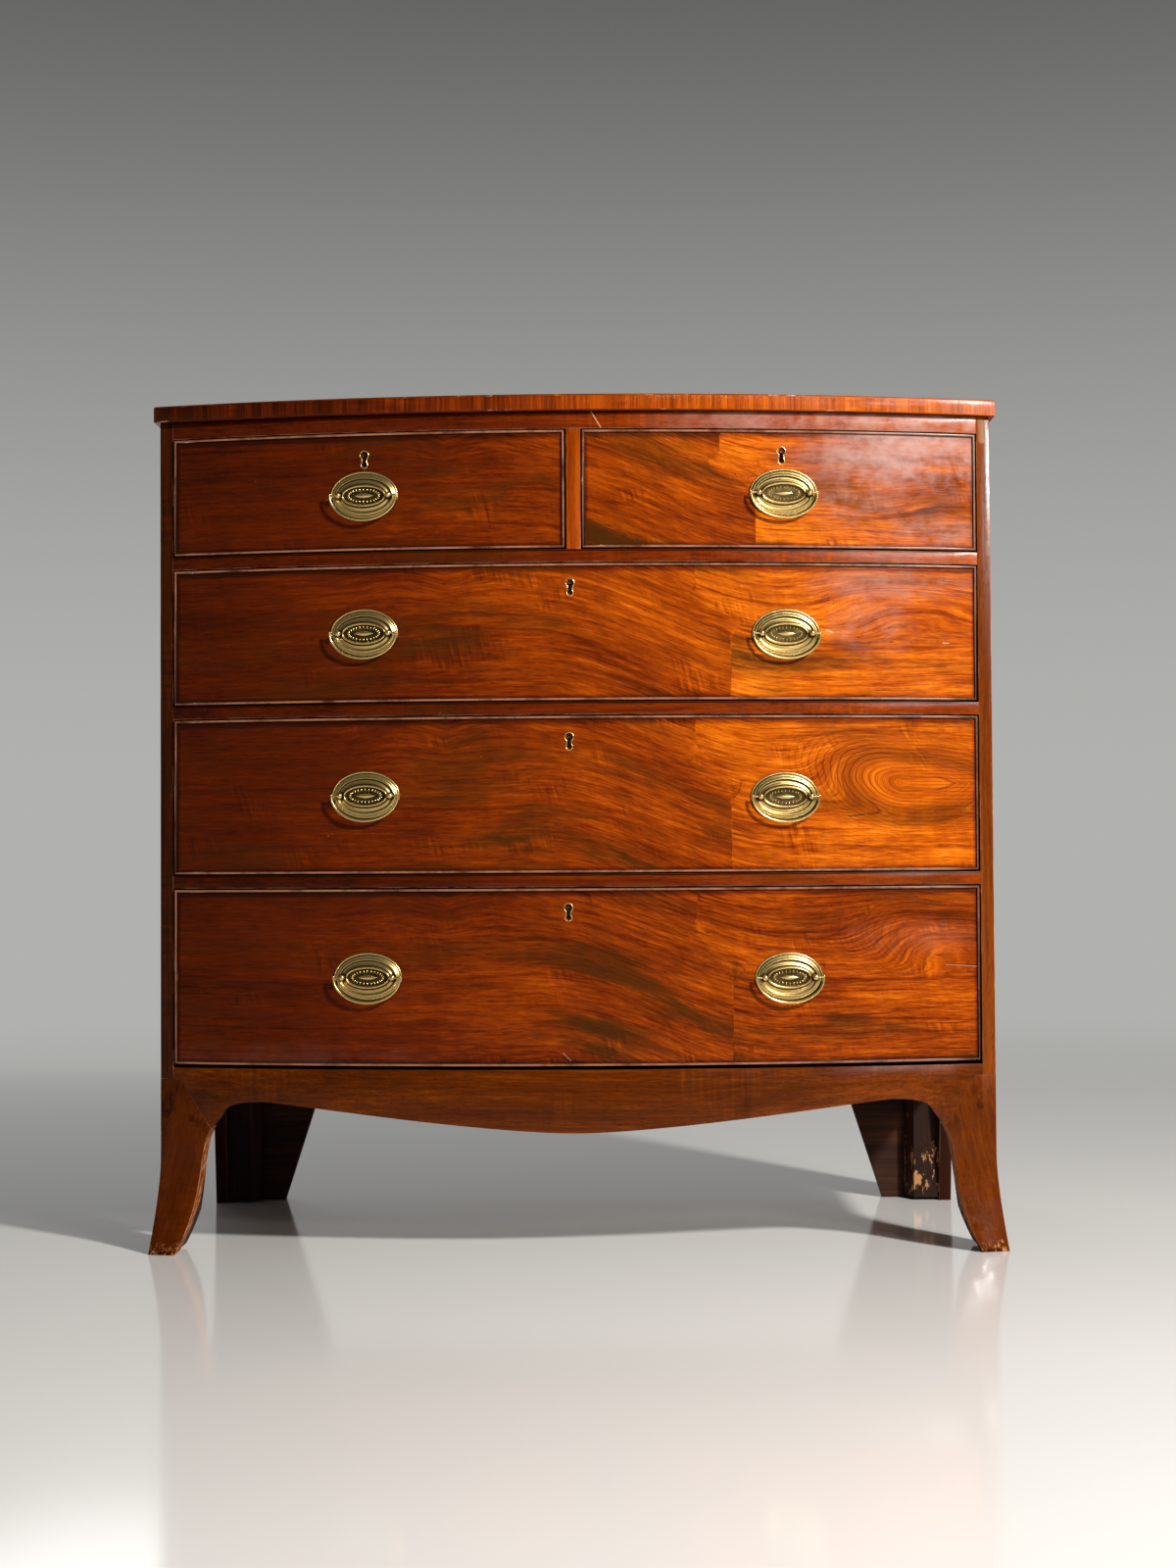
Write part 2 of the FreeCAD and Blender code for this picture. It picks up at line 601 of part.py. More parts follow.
def keyhole_outline(inset):
    """Keyhole with a round head, a waist and a round foot, drawn facing -Y about its middle."""
    points = []
    for (z, radius), start in ((THREAD_UPPER, -0.5 * math.pi), (THREAD_LOWER, 0.5 * math.pi)):
        radius -= inset
        waist = math.asin((THREAD_WAIST - inset) / radius)
        sweep = 2 * (math.pi - waist)
        for n in range(THREAD_SIDES + 1):
            x, rise = oval_point(radius, radius, start + waist + sweep * n / THREAD_SIDES)
            points.append(vector(x, 0, z + rise))
    return polygon_face(points)


def ring_solid(rings, sides):
    """Solid through many-sided rings of one shape, each half width, half height, distance out."""
    loops = []
    for half_width, half_height, out in rings:
        corners = [oval_point(half_width, half_height, 2 * math.pi * (n + 0.5) / sides)
                   for n in range(sides)]
        loops.append([vector(x, -out, z) for x, z in corners])
    faces = [polygon_face(loops[0]), polygon_face(loops[-1])]
    for low, high in zip(loops, loops[1:]):
        faces += [polygon_face([low[n - 1], low[n], high[n], high[n - 1]]) for n in range(sides)]
    shell = Part.makeShell(faces)
    shell.sewShape()
    solid = Part.makeSolid(shell)
    return solid if solid.Volume > 0 else solid.reversed()


def pin_bar(radius, x0, x1):
    """Many-sided round bar along X."""
    corners = [oval_point(radius, radius, 2 * math.pi * (n + 0.5) / PIN_SIDES)
               for n in range(PIN_SIDES)]
    return prism([vector(x0, y, z) for y, z in corners], vector(x1 - x0, 0, 0))


def square_bar(x, size, y0, y1):
    half = size / 2
    return box(x - half, x + half, y0, y1, -half, half)


def make_plate():
    """Oval backplate with a raised rim and a domed middle, pierced for the posts."""
    plate = ring_solid([(share * PLATE_HALF_WIDTH, share * PLATE_HALF_HEIGHT, height)
                        for share, height in PLATE_RINGS], PLATE_SIDES)
    holes = [square_bar(x, PLATE_HOLE, -POST_STANDOFF, 1)
             for x in (-POST_SPACING / 2, POST_SPACING / 2)]
    return plate.cut(holes)


def make_post(x):
    """Post with a pierced knop, and the square shank that passes the drawer front."""
    knop = ring_solid([(radius, radius, height) for radius, height in POST_RINGS], POST_SIDES)
    post = knop.fuse(square_bar(0, SHANK, -POST_RINGS[0][1], SHANK_LENGTH))
    hole = pin_bar(PIN_HOLE_RADIUS / math.cos(math.pi / PIN_SIDES), -SHANK, SHANK)
    hole.translate(vector(0, -POST_STANDOFF, 0))
    post = post.cut(hole)
    post.translate(vector(x, 0, 0))
    return post


def make_bail():
    """Drop handle: a half oval bar with pins turned in to the posts."""
    spine = [vector(-BAIL_HALF_WIDTH, 0, BAIL_TIP)]
    for step in range(BAIL_STEPS + 1):
        x, z = oval_point(-BAIL_HALF_WIDTH, -BAIL_DROP, math.pi * step / BAIL_STEPS)
        spine.append(vector(x, 0, z))
    spine.append(vector(BAIL_HALF_WIDTH, 0, BAIL_TIP))
    ring = []
    for corner in range(BAIL_SIDES):
        x, y = oval_point(BAIL_RADIUS, BAIL_RADIUS, 2 * math.pi * (corner + 0.5) / BAIL_SIDES)
        ring.append(spine[0] + vector(x, y, 0))
    sweep = Part.BRepOffsetAPI.MakePipeShell(Part.makePolygon(spine))
    sweep.setTransitionMode(1)
    sweep.add(Part.makePolygon(ring + ring[:1]), False, False)
    sweep.build()
    sweep.makeSolid()
    pins = [pin_bar(PIN_RADIUS, side * PIN_END, side * BAIL_HALF_WIDTH) for side in (-1, 1)]
    bail = fused([sweep.shape()] + pins)
    bail.translate(vector(0, -POST_STANDOFF, 0))
    return bail


def lock_body(top, y_back):
    """Case, back plate and top plate of a lock; top is its height above the keyhole."""
    y_plate = FRONT_THICKNESS - LOCK_PLATE
    y_box, low = y_plate - LOCK_BOX_DEPTH, -LOCK_BELOW_KEY
    half, plate_half = LOCK_WIDTH / 2, LOCK_PLATE_WIDTH / 2
    return fused([box(-half, half, y_box, y_back, low, top),
                  box(-plate_half, plate_half, y_plate, y_back, low - LOCK_LIP, top),
                  box(-plate_half, plate_half, y_box, y_back, top - LOCK_PLATE, top)])


def make_lock(top):
    """The lock with the pocket of its bolt, and the bolt drawn back into it."""
    y_box = FRONT_THICKNESS - LOCK_PLATE - LOCK_BOX_DEPTH
    width, thickness, height = BOLT
    y_bolt = y_box + (LOCK_BOX_DEPTH - thickness) / 2
    bolt = box(-width / 2, width / 2, y_bolt, y_bolt + thickness,
               top - BOLT_PLAY - height, top - BOLT_PLAY)
    pocket = box(-width / 2 - BOLT_PLAY, width / 2 + BOLT_PLAY, y_bolt - BOLT_PLAY,
                 y_bolt + thickness + BOLT_PLAY, top - height - 2 * BOLT_PLAY, top + 1)
    pin = ring_solid([(DRILL_PIN, DRILL_PIN, -y) for y in (y_box, THREAD_DEPTH)], PIN_SIDES)
    pin.translate(vector(0, 0, THREAD_UPPER[0]))
    return fused([lock_body(top, FRONT_THICKNESS).cut(pocket), pin]), bolt


def side_plan(outer, inner, radius, y_back, z):
    """Plan of a drawer side, its front end square across between its two faces."""
    return [vector(outer, bow_y(outer, radius), z), vector(inner, bow_y(inner, radius), z),
            vector(inner, y_back, z), vector(outer, y_back, z)]


def make_drawer(drawer):
    name, left, right, row, front_gap, (key_x, key_z), handles = drawer
    floor, ceiling = FLOORS[row], FLOORS[row] + OPENING_HEIGHTS[row]
    x0, x1 = left + DRAWER_SIDE_GAP, right - DRAWER_SIDE_GAP
    z0, z1 = floor + front_gap, ceiling - DRAWER_TOP_GAP
    inner_radius = BOW_RADIUS - FRONT_THICKNESS
    side_low, side_high = floor + RUNNING_CLEARANCE, z1 - SIDE_DROP
    rise = vector(0, 0, side_high - side_low)
    y_back = INNER_BACK_Y - DRAWER_BACK_GAP
    panel_low = side_low + PANEL_RISE
    panel_high = panel_low + PANEL_THICKNESS
    panel = bowed_board(x0 + SIDE_BOARD - GROOVE, x1 - SIDE_BOARD + GROOVE,
                        inner_radius + GROOVE, y_back, panel_low, panel_high)
    back = box(x0, x1, y_back - BACK_BOARD, y_back, panel_high, side_high - SIDE_DROP)
    sides, front_tails = [], []
    for outer, inner in ((x0, x0 + SIDE_BOARD), (x1, x1 - SIDE_BOARD)):
        reach = prism(side_plan(outer, inner, BOW_RADIUS - LAP, y_back, side_low), rise)
        board = prism(side_plan(outer, inner, inner_radius, y_back, side_low), rise)
        x_far, x_near = max(abs(outer), abs(inner)), min(abs(outer), abs(inner))
        tails = drawer_tails(outer, inner, bow_y(x_far, inner_radius),
                             bow_y(x_near, BOW_RADIUS - LAP), z0 + BEAD, side_high)
        tails = [tail.common(reach) for tail in tails]
        back = back.cut(drawer_tails(outer, inner, y_back - BACK_BOARD, y_back,
                                     panel_high, side_high - SIDE_DROP))
        sides.append(fused([board] + tails))
        front_tails += tails
    sides = [side.cut([back, panel]) for side in sides]
    front = make_front(x0, x1, z0, z1).cut(front_tails)

    inlay = vector(0, THREAD_DEPTH, 0)
    pocket = keyhole_outline(0).extrude(inlay + inlay)
    pocket.translate(-inlay)
    thread = keyhole_outline(0).extrude(inlay).cut(keyhole_outline(THREAD_WALL).extrude(inlay))
    width, height = KEYWAY
    keyway = box(-width / 2, width / 2, 0, FRONT_THICKNESS, -height / 2, height / 2)
    lock, bolt = make_lock(z1 - key_z)
    keep("lock_" + name, on_face(lock, key_x, key_z))
    keep("lock_bolt_" + name, on_face(bolt, key_x, key_z))
    lock_recess = on_face(lock_body(z1 - key_z, FRONT_THICKNESS + 1), key_x, key_z)
    keep("cock_beads_" + name, *[bead.cut(lock_recess) for bead in bead_frame(x0, x1, z0, z1)])
    cuts = [panel, lock_recess, on_face(pocket, key_x, key_z), on_face(keyway, key_x, key_z)]

    brasses = [on_face(thread, key_x, key_z)]
    for index, (x, z) in enumerate(handles):
        fittings = [make_plate()]
        for post_x in (-POST_SPACING / 2, POST_SPACING / 2):
            fittings.append(make_post(post_x))
            hole = square_bar(post_x, SHANK + 2 * SHANK_PLAY, -1, FRONT_THICKNESS + 3)
            cuts.append(on_face(hole, x, z))
        brasses += [on_face(fitting, x, z) for fitting in fittings]
        side_name = "" if len(handles) == 1 else ("_left", "_right")[index]
        keep("bail_" + name + side_name, on_face(make_bail(), x, z))
    keep("brasses_" + name, *brasses)
    keep("drawer_front_" + name, front.cut(cuts))
    keep("drawer_box_" + name, *sides, back, panel)


make_carcase()
make_base()
for each in DRAWERS:
    make_drawer(each)

os.makedirs("parts", exist_ok=True)
for node, shape in SHAPES.items():
    shape.exportStep(os.path.join("parts", node + ".step"))
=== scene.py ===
import json
import math

import bpy
from mathutils import Matrix, Vector

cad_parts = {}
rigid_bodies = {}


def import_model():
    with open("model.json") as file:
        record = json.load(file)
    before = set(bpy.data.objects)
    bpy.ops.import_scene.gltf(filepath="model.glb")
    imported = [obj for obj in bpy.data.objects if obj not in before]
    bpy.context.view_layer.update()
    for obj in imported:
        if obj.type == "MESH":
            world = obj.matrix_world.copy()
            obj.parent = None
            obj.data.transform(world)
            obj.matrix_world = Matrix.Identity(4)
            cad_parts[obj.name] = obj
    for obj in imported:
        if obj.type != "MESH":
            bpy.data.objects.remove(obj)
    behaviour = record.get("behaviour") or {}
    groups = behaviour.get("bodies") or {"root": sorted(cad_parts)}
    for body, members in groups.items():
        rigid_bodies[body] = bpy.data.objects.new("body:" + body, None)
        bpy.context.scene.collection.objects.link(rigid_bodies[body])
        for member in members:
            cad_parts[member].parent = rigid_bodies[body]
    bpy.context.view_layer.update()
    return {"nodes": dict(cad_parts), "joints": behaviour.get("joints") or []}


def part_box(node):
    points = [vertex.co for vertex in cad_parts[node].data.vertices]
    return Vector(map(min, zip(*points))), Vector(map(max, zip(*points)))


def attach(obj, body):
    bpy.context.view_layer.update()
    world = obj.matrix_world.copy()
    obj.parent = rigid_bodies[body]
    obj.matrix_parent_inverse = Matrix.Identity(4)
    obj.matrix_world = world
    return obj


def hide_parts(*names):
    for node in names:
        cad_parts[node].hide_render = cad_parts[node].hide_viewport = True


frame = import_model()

# The looks of a bow front chest of drawers: French polished mahogany with figured veneers,
# oak and pine inside, aged brass handles. Metres, +Z up, the front towards -Y.

MM = 0.001
nodes = frame["nodes"]

# ---- Front of the case, as in the CAD ----
CASE_HALF = 0.525
BOW_RISE = 0.066
CORNER_Y = -0.2025
BOW_RADIUS = (CASE_HALF ** 2 + BOW_RISE ** 2) / (2 * BOW_RISE)
DRAWERS = ("short_left", "short_right", "long_upper", "long_middle", "long_lower")
FRONT_THICKNESS = 22 * MM
POST_STANDOFF = 9 * MM
KEY_ABOVE_LOCK = 19 * MM  # middle of a keyhole above the lower edge of its lock
BOLT_DEPTH = 16 * MM  # middle of a lock bolt behind the face of its drawer


# ---- Camera ----
CAMERA_PLACE = (0.05033, CORNER_Y - 3.0894, 0.4948)
CAMERA_YAW = 0.648  # degrees to the left of +Y
CAMERA_PITCH = 1.668  # degrees up
CAMERA_ROLL = -0.339
CAMERA_LENS = 56.25
SENSOR = 36.0


def make_camera():
    yaw, pitch, roll = (math.radians(a) for a in (CAMERA_YAW, CAMERA_PITCH, CAMERA_ROLL))
    ahead = Vector((-math.sin(yaw) * math.cos(pitch), math.cos(yaw) * math.cos(pitch),
                    math.sin(pitch)))
    level = Vector((math.cos(yaw), math.sin(yaw), 0))
    rise = level.cross(ahead)
    right = level * math.cos(roll) + rise * math.sin(roll)
    up = rise * math.cos(roll) - level * math.sin(roll)
    data = bpy.data.cameras.new("camera")
    data.lens = CAMERA_LENS
    data.sensor_width = SENSOR
    camera = bpy.data.objects.new("camera", data)
    turn = Matrix((right, up, -ahead)).transposed().to_4x4()
    camera.matrix_world = Matrix.Translation(CAMERA_PLACE) @ turn
    bpy.context.scene.collection.objects.link(camera)
    bpy.context.scene.camera = camera


# ---- Materials: a small language over the node tree ----
class Field:
    """A value on its way through a material; arithmetic on it adds math nodes."""

    def __init__(self, graph, socket):
        self.graph = graph
        self.socket = socket

    def __add__(self, other):
        return self.graph.math("ADD", self, other)

    def __sub__(self, other):
        return self.graph.math("SUBTRACT", self, other)

    def __mul__(self, other):
        return self.graph.math("MULTIPLY", self, other)

    def __truediv__(self, other):
        return self.graph.math("DIVIDE", self, other)

    def __rsub__(self, other):
        return self.graph.math("SUBTRACT", other, self)

    __radd__ = __add__
    __rmul__ = __mul__


class Graph:
    """The node tree of a new material, or of the world."""

    def __init__(self, name, world=None):
        self.material = world or bpy.data.materials.new(name)
        self.material.use_nodes = True
        self.nodes = self.material.node_tree.nodes
        self.links = self.material.node_tree.links
        self.nodes.clear()

    def add(self, kind, inputs, **settings):
        node = self.nodes.new("ShaderNode" + kind)
        for name, value in settings.items():
            setattr(node, name, value)
        for name, value in inputs.items():
            if isinstance(value, Field):
                self.links.new(value.socket, node.inputs[name])
            else:
                node.inputs[name].default_value = value
        return node

    def field(self, node, output=0):
        return Field(self, node.outputs[output])

    def math(self, operation, a, b=0.0, c=0.0):
        return self.field(self.add("Math", {0: a, 1: b, 2: c}, operation=operation))

    def split(self, output):
        """x, y and z of the object's coordinates or of its normal."""
        vector = self.field(self.add("TexCoord", {}), output)
        parts = self.add("SeparateXYZ", {0: vector})
        return [self.field(parts, n) for n in range(3)]

    def vector(self, x, y, z):
        return self.field(self.add("CombineXYZ", {0: x, 1: y, 2: z}))

    def noise(self, x, y, z, detail=2.0, roughness=0.5):
        """Noise about 0, from about -0.5 to 0.5, with one wave to each unit of x, y and z."""
        inputs = {"Vector": self.vector(x, y, z), "Scale": 1.0, "Detail": detail,
                  "Roughness": roughness}
        return self.field(self.add("TexNoise", inputs)) - 0.5

    def cloud(self, place, waves, seed=0.0, detail=2.0, roughness=0.5, upright=None):
        """Noise with so many waves to the metre, or with another number of them upright."""
        x, y, z = place
        z = z * (upright or waves) + seed
        return self.noise(x * waves, y * waves, z, detail, roughness)

    def grain(self, place, layer, seed):
        """Noise drawn out along a grain. place is the distance along it, across it and into
        the board; layer gives its waves to the metre along and across the grain, then its
        detail and roughness."""
        along, across, deep = place
        length, width, *settings = layer
        return self.noise(along * length, across * width, deep * width + seed, *settings)

    def layers(self, place, table, seed):
        """Sum of layers of grain; each row of the table is a strength and a layer."""
        total = 0.0
        for strength, *layer in table:
            total = total + self.grain(place, layer, seed) * strength
        return total

    def step(self, value, start, end, low=0.0, high=1.0):
        """Smooth change from low to high while value goes from start to end."""
        inputs = {"Value": value, "From Min": start, "From Max": end, "To Min": low,
                  "To Max": high}
        return self.field(self.add("MapRange", inputs, interpolation_type="SMOOTHSTEP"))

    def clamp(self, value):
        return self.math("MINIMUM", self.math("MAXIMUM", value, 0.0), 1.0)

    def length(self, a, b):
        return self.math("SQRT", a * a + b * b)

    def most(self, *values):
        """The largest of those values that are not None."""
        found = None
        for value in values:
            if value is not None:
                found = value if found is None else self.math("MAXIMUM", found, value)
        return found

    def specks(self, place, cells, size, share, offset):
        """1 on round specks in a share of the cells, of which there are so many to the metre.
        The specks have that size as a part of a cell."""
        x, y, z = (value * cells + more for value, more in zip(place, offset))
        found = self.add("TexVoronoi", {"Vector": self.vector(x, y, z), "Scale": 1.0})
        pick = self.add("SeparateColor", {0: self.field(found, "Color")})
        near = self.step(self.field(found, "Distance"), size, size * 0.6)
        return near * self.math("LESS_THAN", self.field(pick), share)

    def stroke(self, x, z, start, end, width):
        """1 along a line on the front, given as (x, z) of its ends, fading over its width."""
        run, rise = end[0] - start[0], end[1] - start[1]
        along = ((x - start[0]) * run + (z - start[1]) * rise) / (run * run + rise * rise)
        along = self.clamp(along)
        distance = self.length(x - start[0] - along * run, z - start[1] - along * rise)
        return self.step(distance, width, width * 0.3)

    def ramp(self, value, stops):
        node = self.add("ValToRGB", {0: value})
        ramp = node.color_ramp
        while len(ramp.elements) < len(stops):
            ramp.elements.new(0.5)
        for element, (place, colour) in zip(ramp.elements, stops):
            element.position = place
            element.color = (*colour, 1.0)
        return self.field(node)

    def blend(self, share, first, second):
        first, second = (c if isinstance(c, Field) else (*c, 1.0) for c in (first, second))
        return self.field(self.add("Mix", {0: share, 6: first, 7: second}, data_type="RGBA"), 2)

    def bump(self, height, strength):
        return self.field(self.add("Bump", {"Height": height, "Distance": 1.0,
                                            "Strength": strength}))

    def seen_by(self, *rays):
        """1 for the kinds of ray that are named as the Light Path node names them."""
        path = self.add("LightPath", {})
        return self.most(*(self.field(path, ray) for ray in rays))

    def mix(self, share, first, second):
        mixed = self.add("MixShader", {0: share})
        self.links.new(first.outputs[0], mixed.inputs[1])
        self.links.new(second.outputs[0], mixed.inputs[2])
        return mixed

    def end(self, shader, output="OutputMaterial"):
        """Makes a shader node the surface of the material, or of the world."""
        self.links.new(shader.outputs[0], self.add(output, {}).inputs["Surface"])
        return self.material

    def shade(self, **inputs):
        """Ends the material in a Principled shader; underscores stand for spaces."""
        inputs = {name.replace("_", " "): value for name, value in inputs.items()}
        return self.end(self.add("BsdfPrincipled", inputs))


# ---- Mahogany ----
# colour of the polished wood for a tone from 0 to 1
POLISH = ((0.00, (0.022, 0.0028, 0.0002)), (0.25, (0.085, 0.0095, 0.0003)),
          (0.45, (0.190, 0.0262, 0.0005)), (0.62, (0.325, 0.0560, 0.0010)),
          (0.80, (0.510, 0.1120, 0.0025)), (1.00, (0.700, 0.2080, 0.0120)))
BROWN_POLISH = ((0.00, (0.022, 0.0042, 0.0004)), (0.25, (0.085, 0.0150, 0.0006)),
                (0.45, (0.185, 0.0370, 0.0012)), (0.62, (0.310, 0.0670, 0.0025)),
                (0.80, (0.480, 0.1180, 0.0060)), (1.00, (0.660, 0.2000, 0.0160)))
PORE = (0.010, 0.0020, 0.0005)
SMOKE = (0.040, 0.0120, 0.0010)
BRUISE = (0.62, 0.36, 0.19)
BLOOM_GLARE = (0.34, 0.185, 0.150)  # of polish that has gone milk-white, partly painted glare
CRACK = (0.010, 0.004, 0.002)
SAWN = (0.46, 0.19, 0.065)
GLOSS = 0.09  # specular level of the polish

# cells to the metre, size in a cell and share of the cells
SPECKS = (36, 0.030, 0.055)
FINE_SPECKS = (120, 0.06, 0.008)
NICKS = (30, 0.035, 0.06)

# layers of straight grain: waves to the metre along and across it, detail and roughness; in
# a table of several layers the strength of each comes first
FIBRES = ((0.55, 1.1, 30, 4.0, 0.6), (0.42, 6, 240, 3.0, 0.65), (0.25, 30, 900, 2.0, 0.6))
FIBRE_WANDER = (1.3, 4)
FIBRE_PORES = (70, 1500, 1.0)
FIBRE_RIPPLE = (150, 9, 2.0)
SMOKE_STREAKS = (3, 12, 3.0)

CASE_ENDS = (-0.55, 0.55)  # x between which tones change from left to right; the left is darker partly by the wood's own tone and partly by painted shade
CROSSBAND = (2.2, 1.5)  # how much finer and stronger its grain is than a board's
RAW_TONE = -0.06  # of the bare inner faces


def lines_of(g, x, z, strokes):
    """Strength of the marks, each given as its two ends on the front, width and strength."""
    return g.most(*(g.stroke(x, z, start, end, width) * strength
                    for start, end, width, strength in strokes))


def fibres(g, place, seed):
    """Tone of straight grain about 0, and its pores, for a board cut from the solid."""
    along, across, deep = place
    wander = g.grain(place, FIBRE_WANDER, seed)
    place = along, across + wander * 0.04, deep + wander * 0.03
    pores = g.step(g.grain(place, FIBRE_PORES, seed), 0.08, 0.18)
    ripple = g.grain(place, FIBRE_RIPPLE, seed) * g.step(g.cloud(place, 6, seed), 0.0, 0.16)
    return g.layers(place, FIBRES, seed) + ripple * 0.35, pores


def polished(g, tone, pores, place, seed, worn=None, cracks=None, raw=None, smoke=None,
             bloom_glare=None, colours=POLISH, bruise=BRUISE):
    """French polish over a tone from 0 to 1, with bruises, specks and given marks. raw is 1
    where the wood was left sawn or bare; bloom is where the polish has gone milk-white, partly
    painted glare."""
    smear = g.cloud(place, 8, seed, 4.0, 0.6, upright=12)
    mottle = g.cloud(place, 60, seed, 3.0, 0.6, upright=80)
    waves = g.cloud(place, 16, seed, upright=22)
    pale = g.most(g.specks(place, *SPECKS, (0, 0, seed)),
                  g.specks(place, *FINE_SPECKS, (seed, 0, 0)), worn)
    nicks = g.most(g.specks(place, *NICKS, (5.0, 0, seed)), cracks)
    colour = g.ramp(tone, colours)
    if smoke is not None:
        colour = g.blend(smoke, colour, SMOKE)
    colour = g.blend(pores * 0.6, colour, PORE)
    colour = g.blend(pale * 0.7, colour, bruise)
    colour = g.blend(nicks * 0.8, colour, CRACK)
    if bloom_glare is not None:
        colour = g.blend(bloom_glare * g.step(smear + mottle * 0.6, -0.26, 0.26), colour, BLOOM_GLARE)
    rough = smear * 0.22 + mottle * 0.16 + pores * 0.06 + 0.215 + pale * 0.3
    if raw is not None:
        rough = rough + raw * 0.35
    height = waves * 0.0010 + mottle * 0.00013 - pores * 0.00006 - (pale + nicks) * 0.0002
    return g.shade(Base_Color=colour, Roughness=rough, Normal=g.bump(height, 0.5),
                   Specular_IOR_Level=GLOSS)


def mahogany(name, grain, tones, seed, marks=(), cracks=(), front_tone=None, edge_tone=None,
             raw_side=0, raw_edges=False, shaded_top_z=0, milky_glare=None):
    """Solid mahogany with its grain along one axis, "x", "y" or "z". tones are those at the
    left and right ends of the case; the left is darker partly by the wood's own tone and
    partly by painted shade. front_tone is for an upright front edge, edge_tone for a
    crossbanded one. raw_side is the way, -1 or 1 along X, that the polished face of a side
    piece looks; its inner face is bare, and with raw_edges its edges are too. The height of a
    rail's upper edge, if given, brings painted shade to a strip below that edge and to the
    rail's upper and lower faces. The last argument gives the two x between which the polish
    goes milk-white, and how much; this is partly painted glare."""
    g = Graph(name)
    x, y, z = place = g.split("Object")
    facing_x, facing_y, facing_z = g.split("Normal")
    level = g.math("ABSOLUTE", facing_z)
    board = {"x": (x, z, y), "y": (y, z, x), "z": (z, x, y)}[grain]
    tone, pores = fibres(g, board, seed)
    if front_tone is not None:
        tone = tone + g.step(facing_y, -0.6, -0.9) * (front_tone - tones[0])
    # darker towards the left, partly the wood's own tone and partly painted shade
    tone = tone + g.step(x, *CASE_ENDS, *tones)
    bloom_glare = g.step(x, milky_glare[0], milky_glare[1], 0.0, milky_glare[2]) if milky_glare else None
    if edge_tone is not None:
        fineness, contrast = CROSSBAND
        end_tone, end_pores = fibres(g, (z, x * fineness, y), seed + 3.0)
        end_tone = end_tone * contrast + g.step(x, -0.55, 0.35, *edge_tone)
        edge = g.math("LESS_THAN", level, 0.5)
        tone = tone + edge * (end_tone - tone)
        pores = pores + edge * (end_pores - pores)
        bloom_glare = bloom_glare * edge if milky_glare else None
    raw = None
    if raw_side:
        limits = (0.6, 0.4) if raw_edges else (-0.4, -0.6)
        raw = g.step(facing_x * raw_side, *limits)
        stain = g.cloud(place, 30, seed, 4.0, 0.6)
        tone = tone + raw * (stain * 0.30 + RAW_TONE - tone)
    # painted shade: a strip below the rail's upper edge, and its upper and lower faces, where
    # the beads and the parts above shade it
    if shaded_top_z:
        painted_shade = g.most(g.step(level, 0.5, 0.85), g.step(shaded_top_z - z, 0.0028, 0.0010))
        tone = tone - painted_shade * 0.6
        pores = g.most(pores, painted_shade)
    worn, split = lines_of(g, x, z, marks), lines_of(g, x, z, cracks)
    smoke = g.step(g.grain(board, SMOKE_STREAKS, seed), 0.04, 0.22) * 0.45
    colours = POLISH if front_tone is None and not raw_edges else BROWN_POLISH
    return polished(g, tone, pores, place, seed, worn, split, raw, smoke, bloom_glare, colours)


# heights on a foot, in pairs between which something comes in or fades out
FOOT_TOP = (0.165, 0.210)
SHOULDER_FOOT = (0.130, 0.180)
SHOULDER_TOP = (0.215, 0.185)
TOE_CHIPS = (0.016, 0.004)
SOLE_DIRT = (0.006, 0.002)
FOOT_LEAN = 0.25  # of the grain, which follows the flare


def foot_mahogany(name, side, tone, top_tone, seed):
    """Splayed foot: upright grain, sawn inner edge, chipped toe, bruised shoulder. top_tone
    is added towards its top."""
    g = Graph(name)
    x, y, z = place = g.split("Object")
    facing_x, facing_y, _ = g.split("Normal")
    grain, pores = fibres(g, (z, x * side + z * FOOT_LEAN, y), seed)
    tone = grain * 0.65 + g.step(z, *FOOT_TOP, tone, tone + top_tone)
    bruised = g.step(g.cloud(place, 30, seed, 4.0, 0.65, upright=22), 0.02, 0.14)
    tone = tone - bruised * g.step(z, *SHOULDER_FOOT) * g.step(z, *SHOULDER_TOP) * 0.20
    sawn = g.step(facing_y, -0.60, -0.40) * g.step(facing_x * side, 0.3, 0.0)
    rub = g.cloud(place, 70, seed, 4.0, 0.65)
    fine_rub = g.cloud(place, 260, seed, 3.0, 0.6, upright=160)
    toe = g.step(z + rub * 0.050, *TOE_CHIPS) * g.step(fine_rub, 0.02, 0.12)
    tone = tone - g.step(z, *SOLE_DIRT) * 0.25 + sawn * (fine_rub * 0.4 + 0.20)
    worn = g.most(toe, sawn * g.step(rub + fine_rub * 0.5, -0.06, 0.14))
    return polished(g, tone, pores, place, seed, worn, raw=sawn, colours=BROWN_POLISH,
                    bruise=SAWN)


# the veneer's grain, given as in FIBRES
VENEER = (
    (0.15, 1.5, 15, 3.0, 0.55),  # broad bands
    (0.22, 5, 62, 3.0, 0.6),  # narrow bands
    (0.34, 12, 190, 3.0, 0.65),  # streaks
    (0.34, 42, 460, 2.0, 0.65),  # dashes
    (0.16, 60, 1100, 2.0, 0.6))  # hairs
VENEER_CLOUDS = (6, 12, 4.0, 0.62)
VENEER_RINGS = (1.0, 50, 1.0)
VENEER_PORES = (60, 850, 2.0, 0.6)
VENEER_SMOKE = (3.4, 15, 5.0, 0.65)
JOINT_UPPER = 0.150  # x of the joint between the two leaves of veneer
JOINT_LOWER = 0.194
FALL_ENDS = (-0.05, 0.26)  # x between which the grain falls towards the right
FALL = 0.085
CROWN_X = -0.16  # middle of the cathedral waves
CROWN_HEIGHT = 0.28
SWIRL_TALL = 1.8  # how much flatter than round the swirl is
SWIRL_WAVES = 760.0  # of its lines, in radians to the metre
SWIRL_DEPTH = 0.22
BARE_TONE = 0.46  # of the back and the edges, which are bare wood


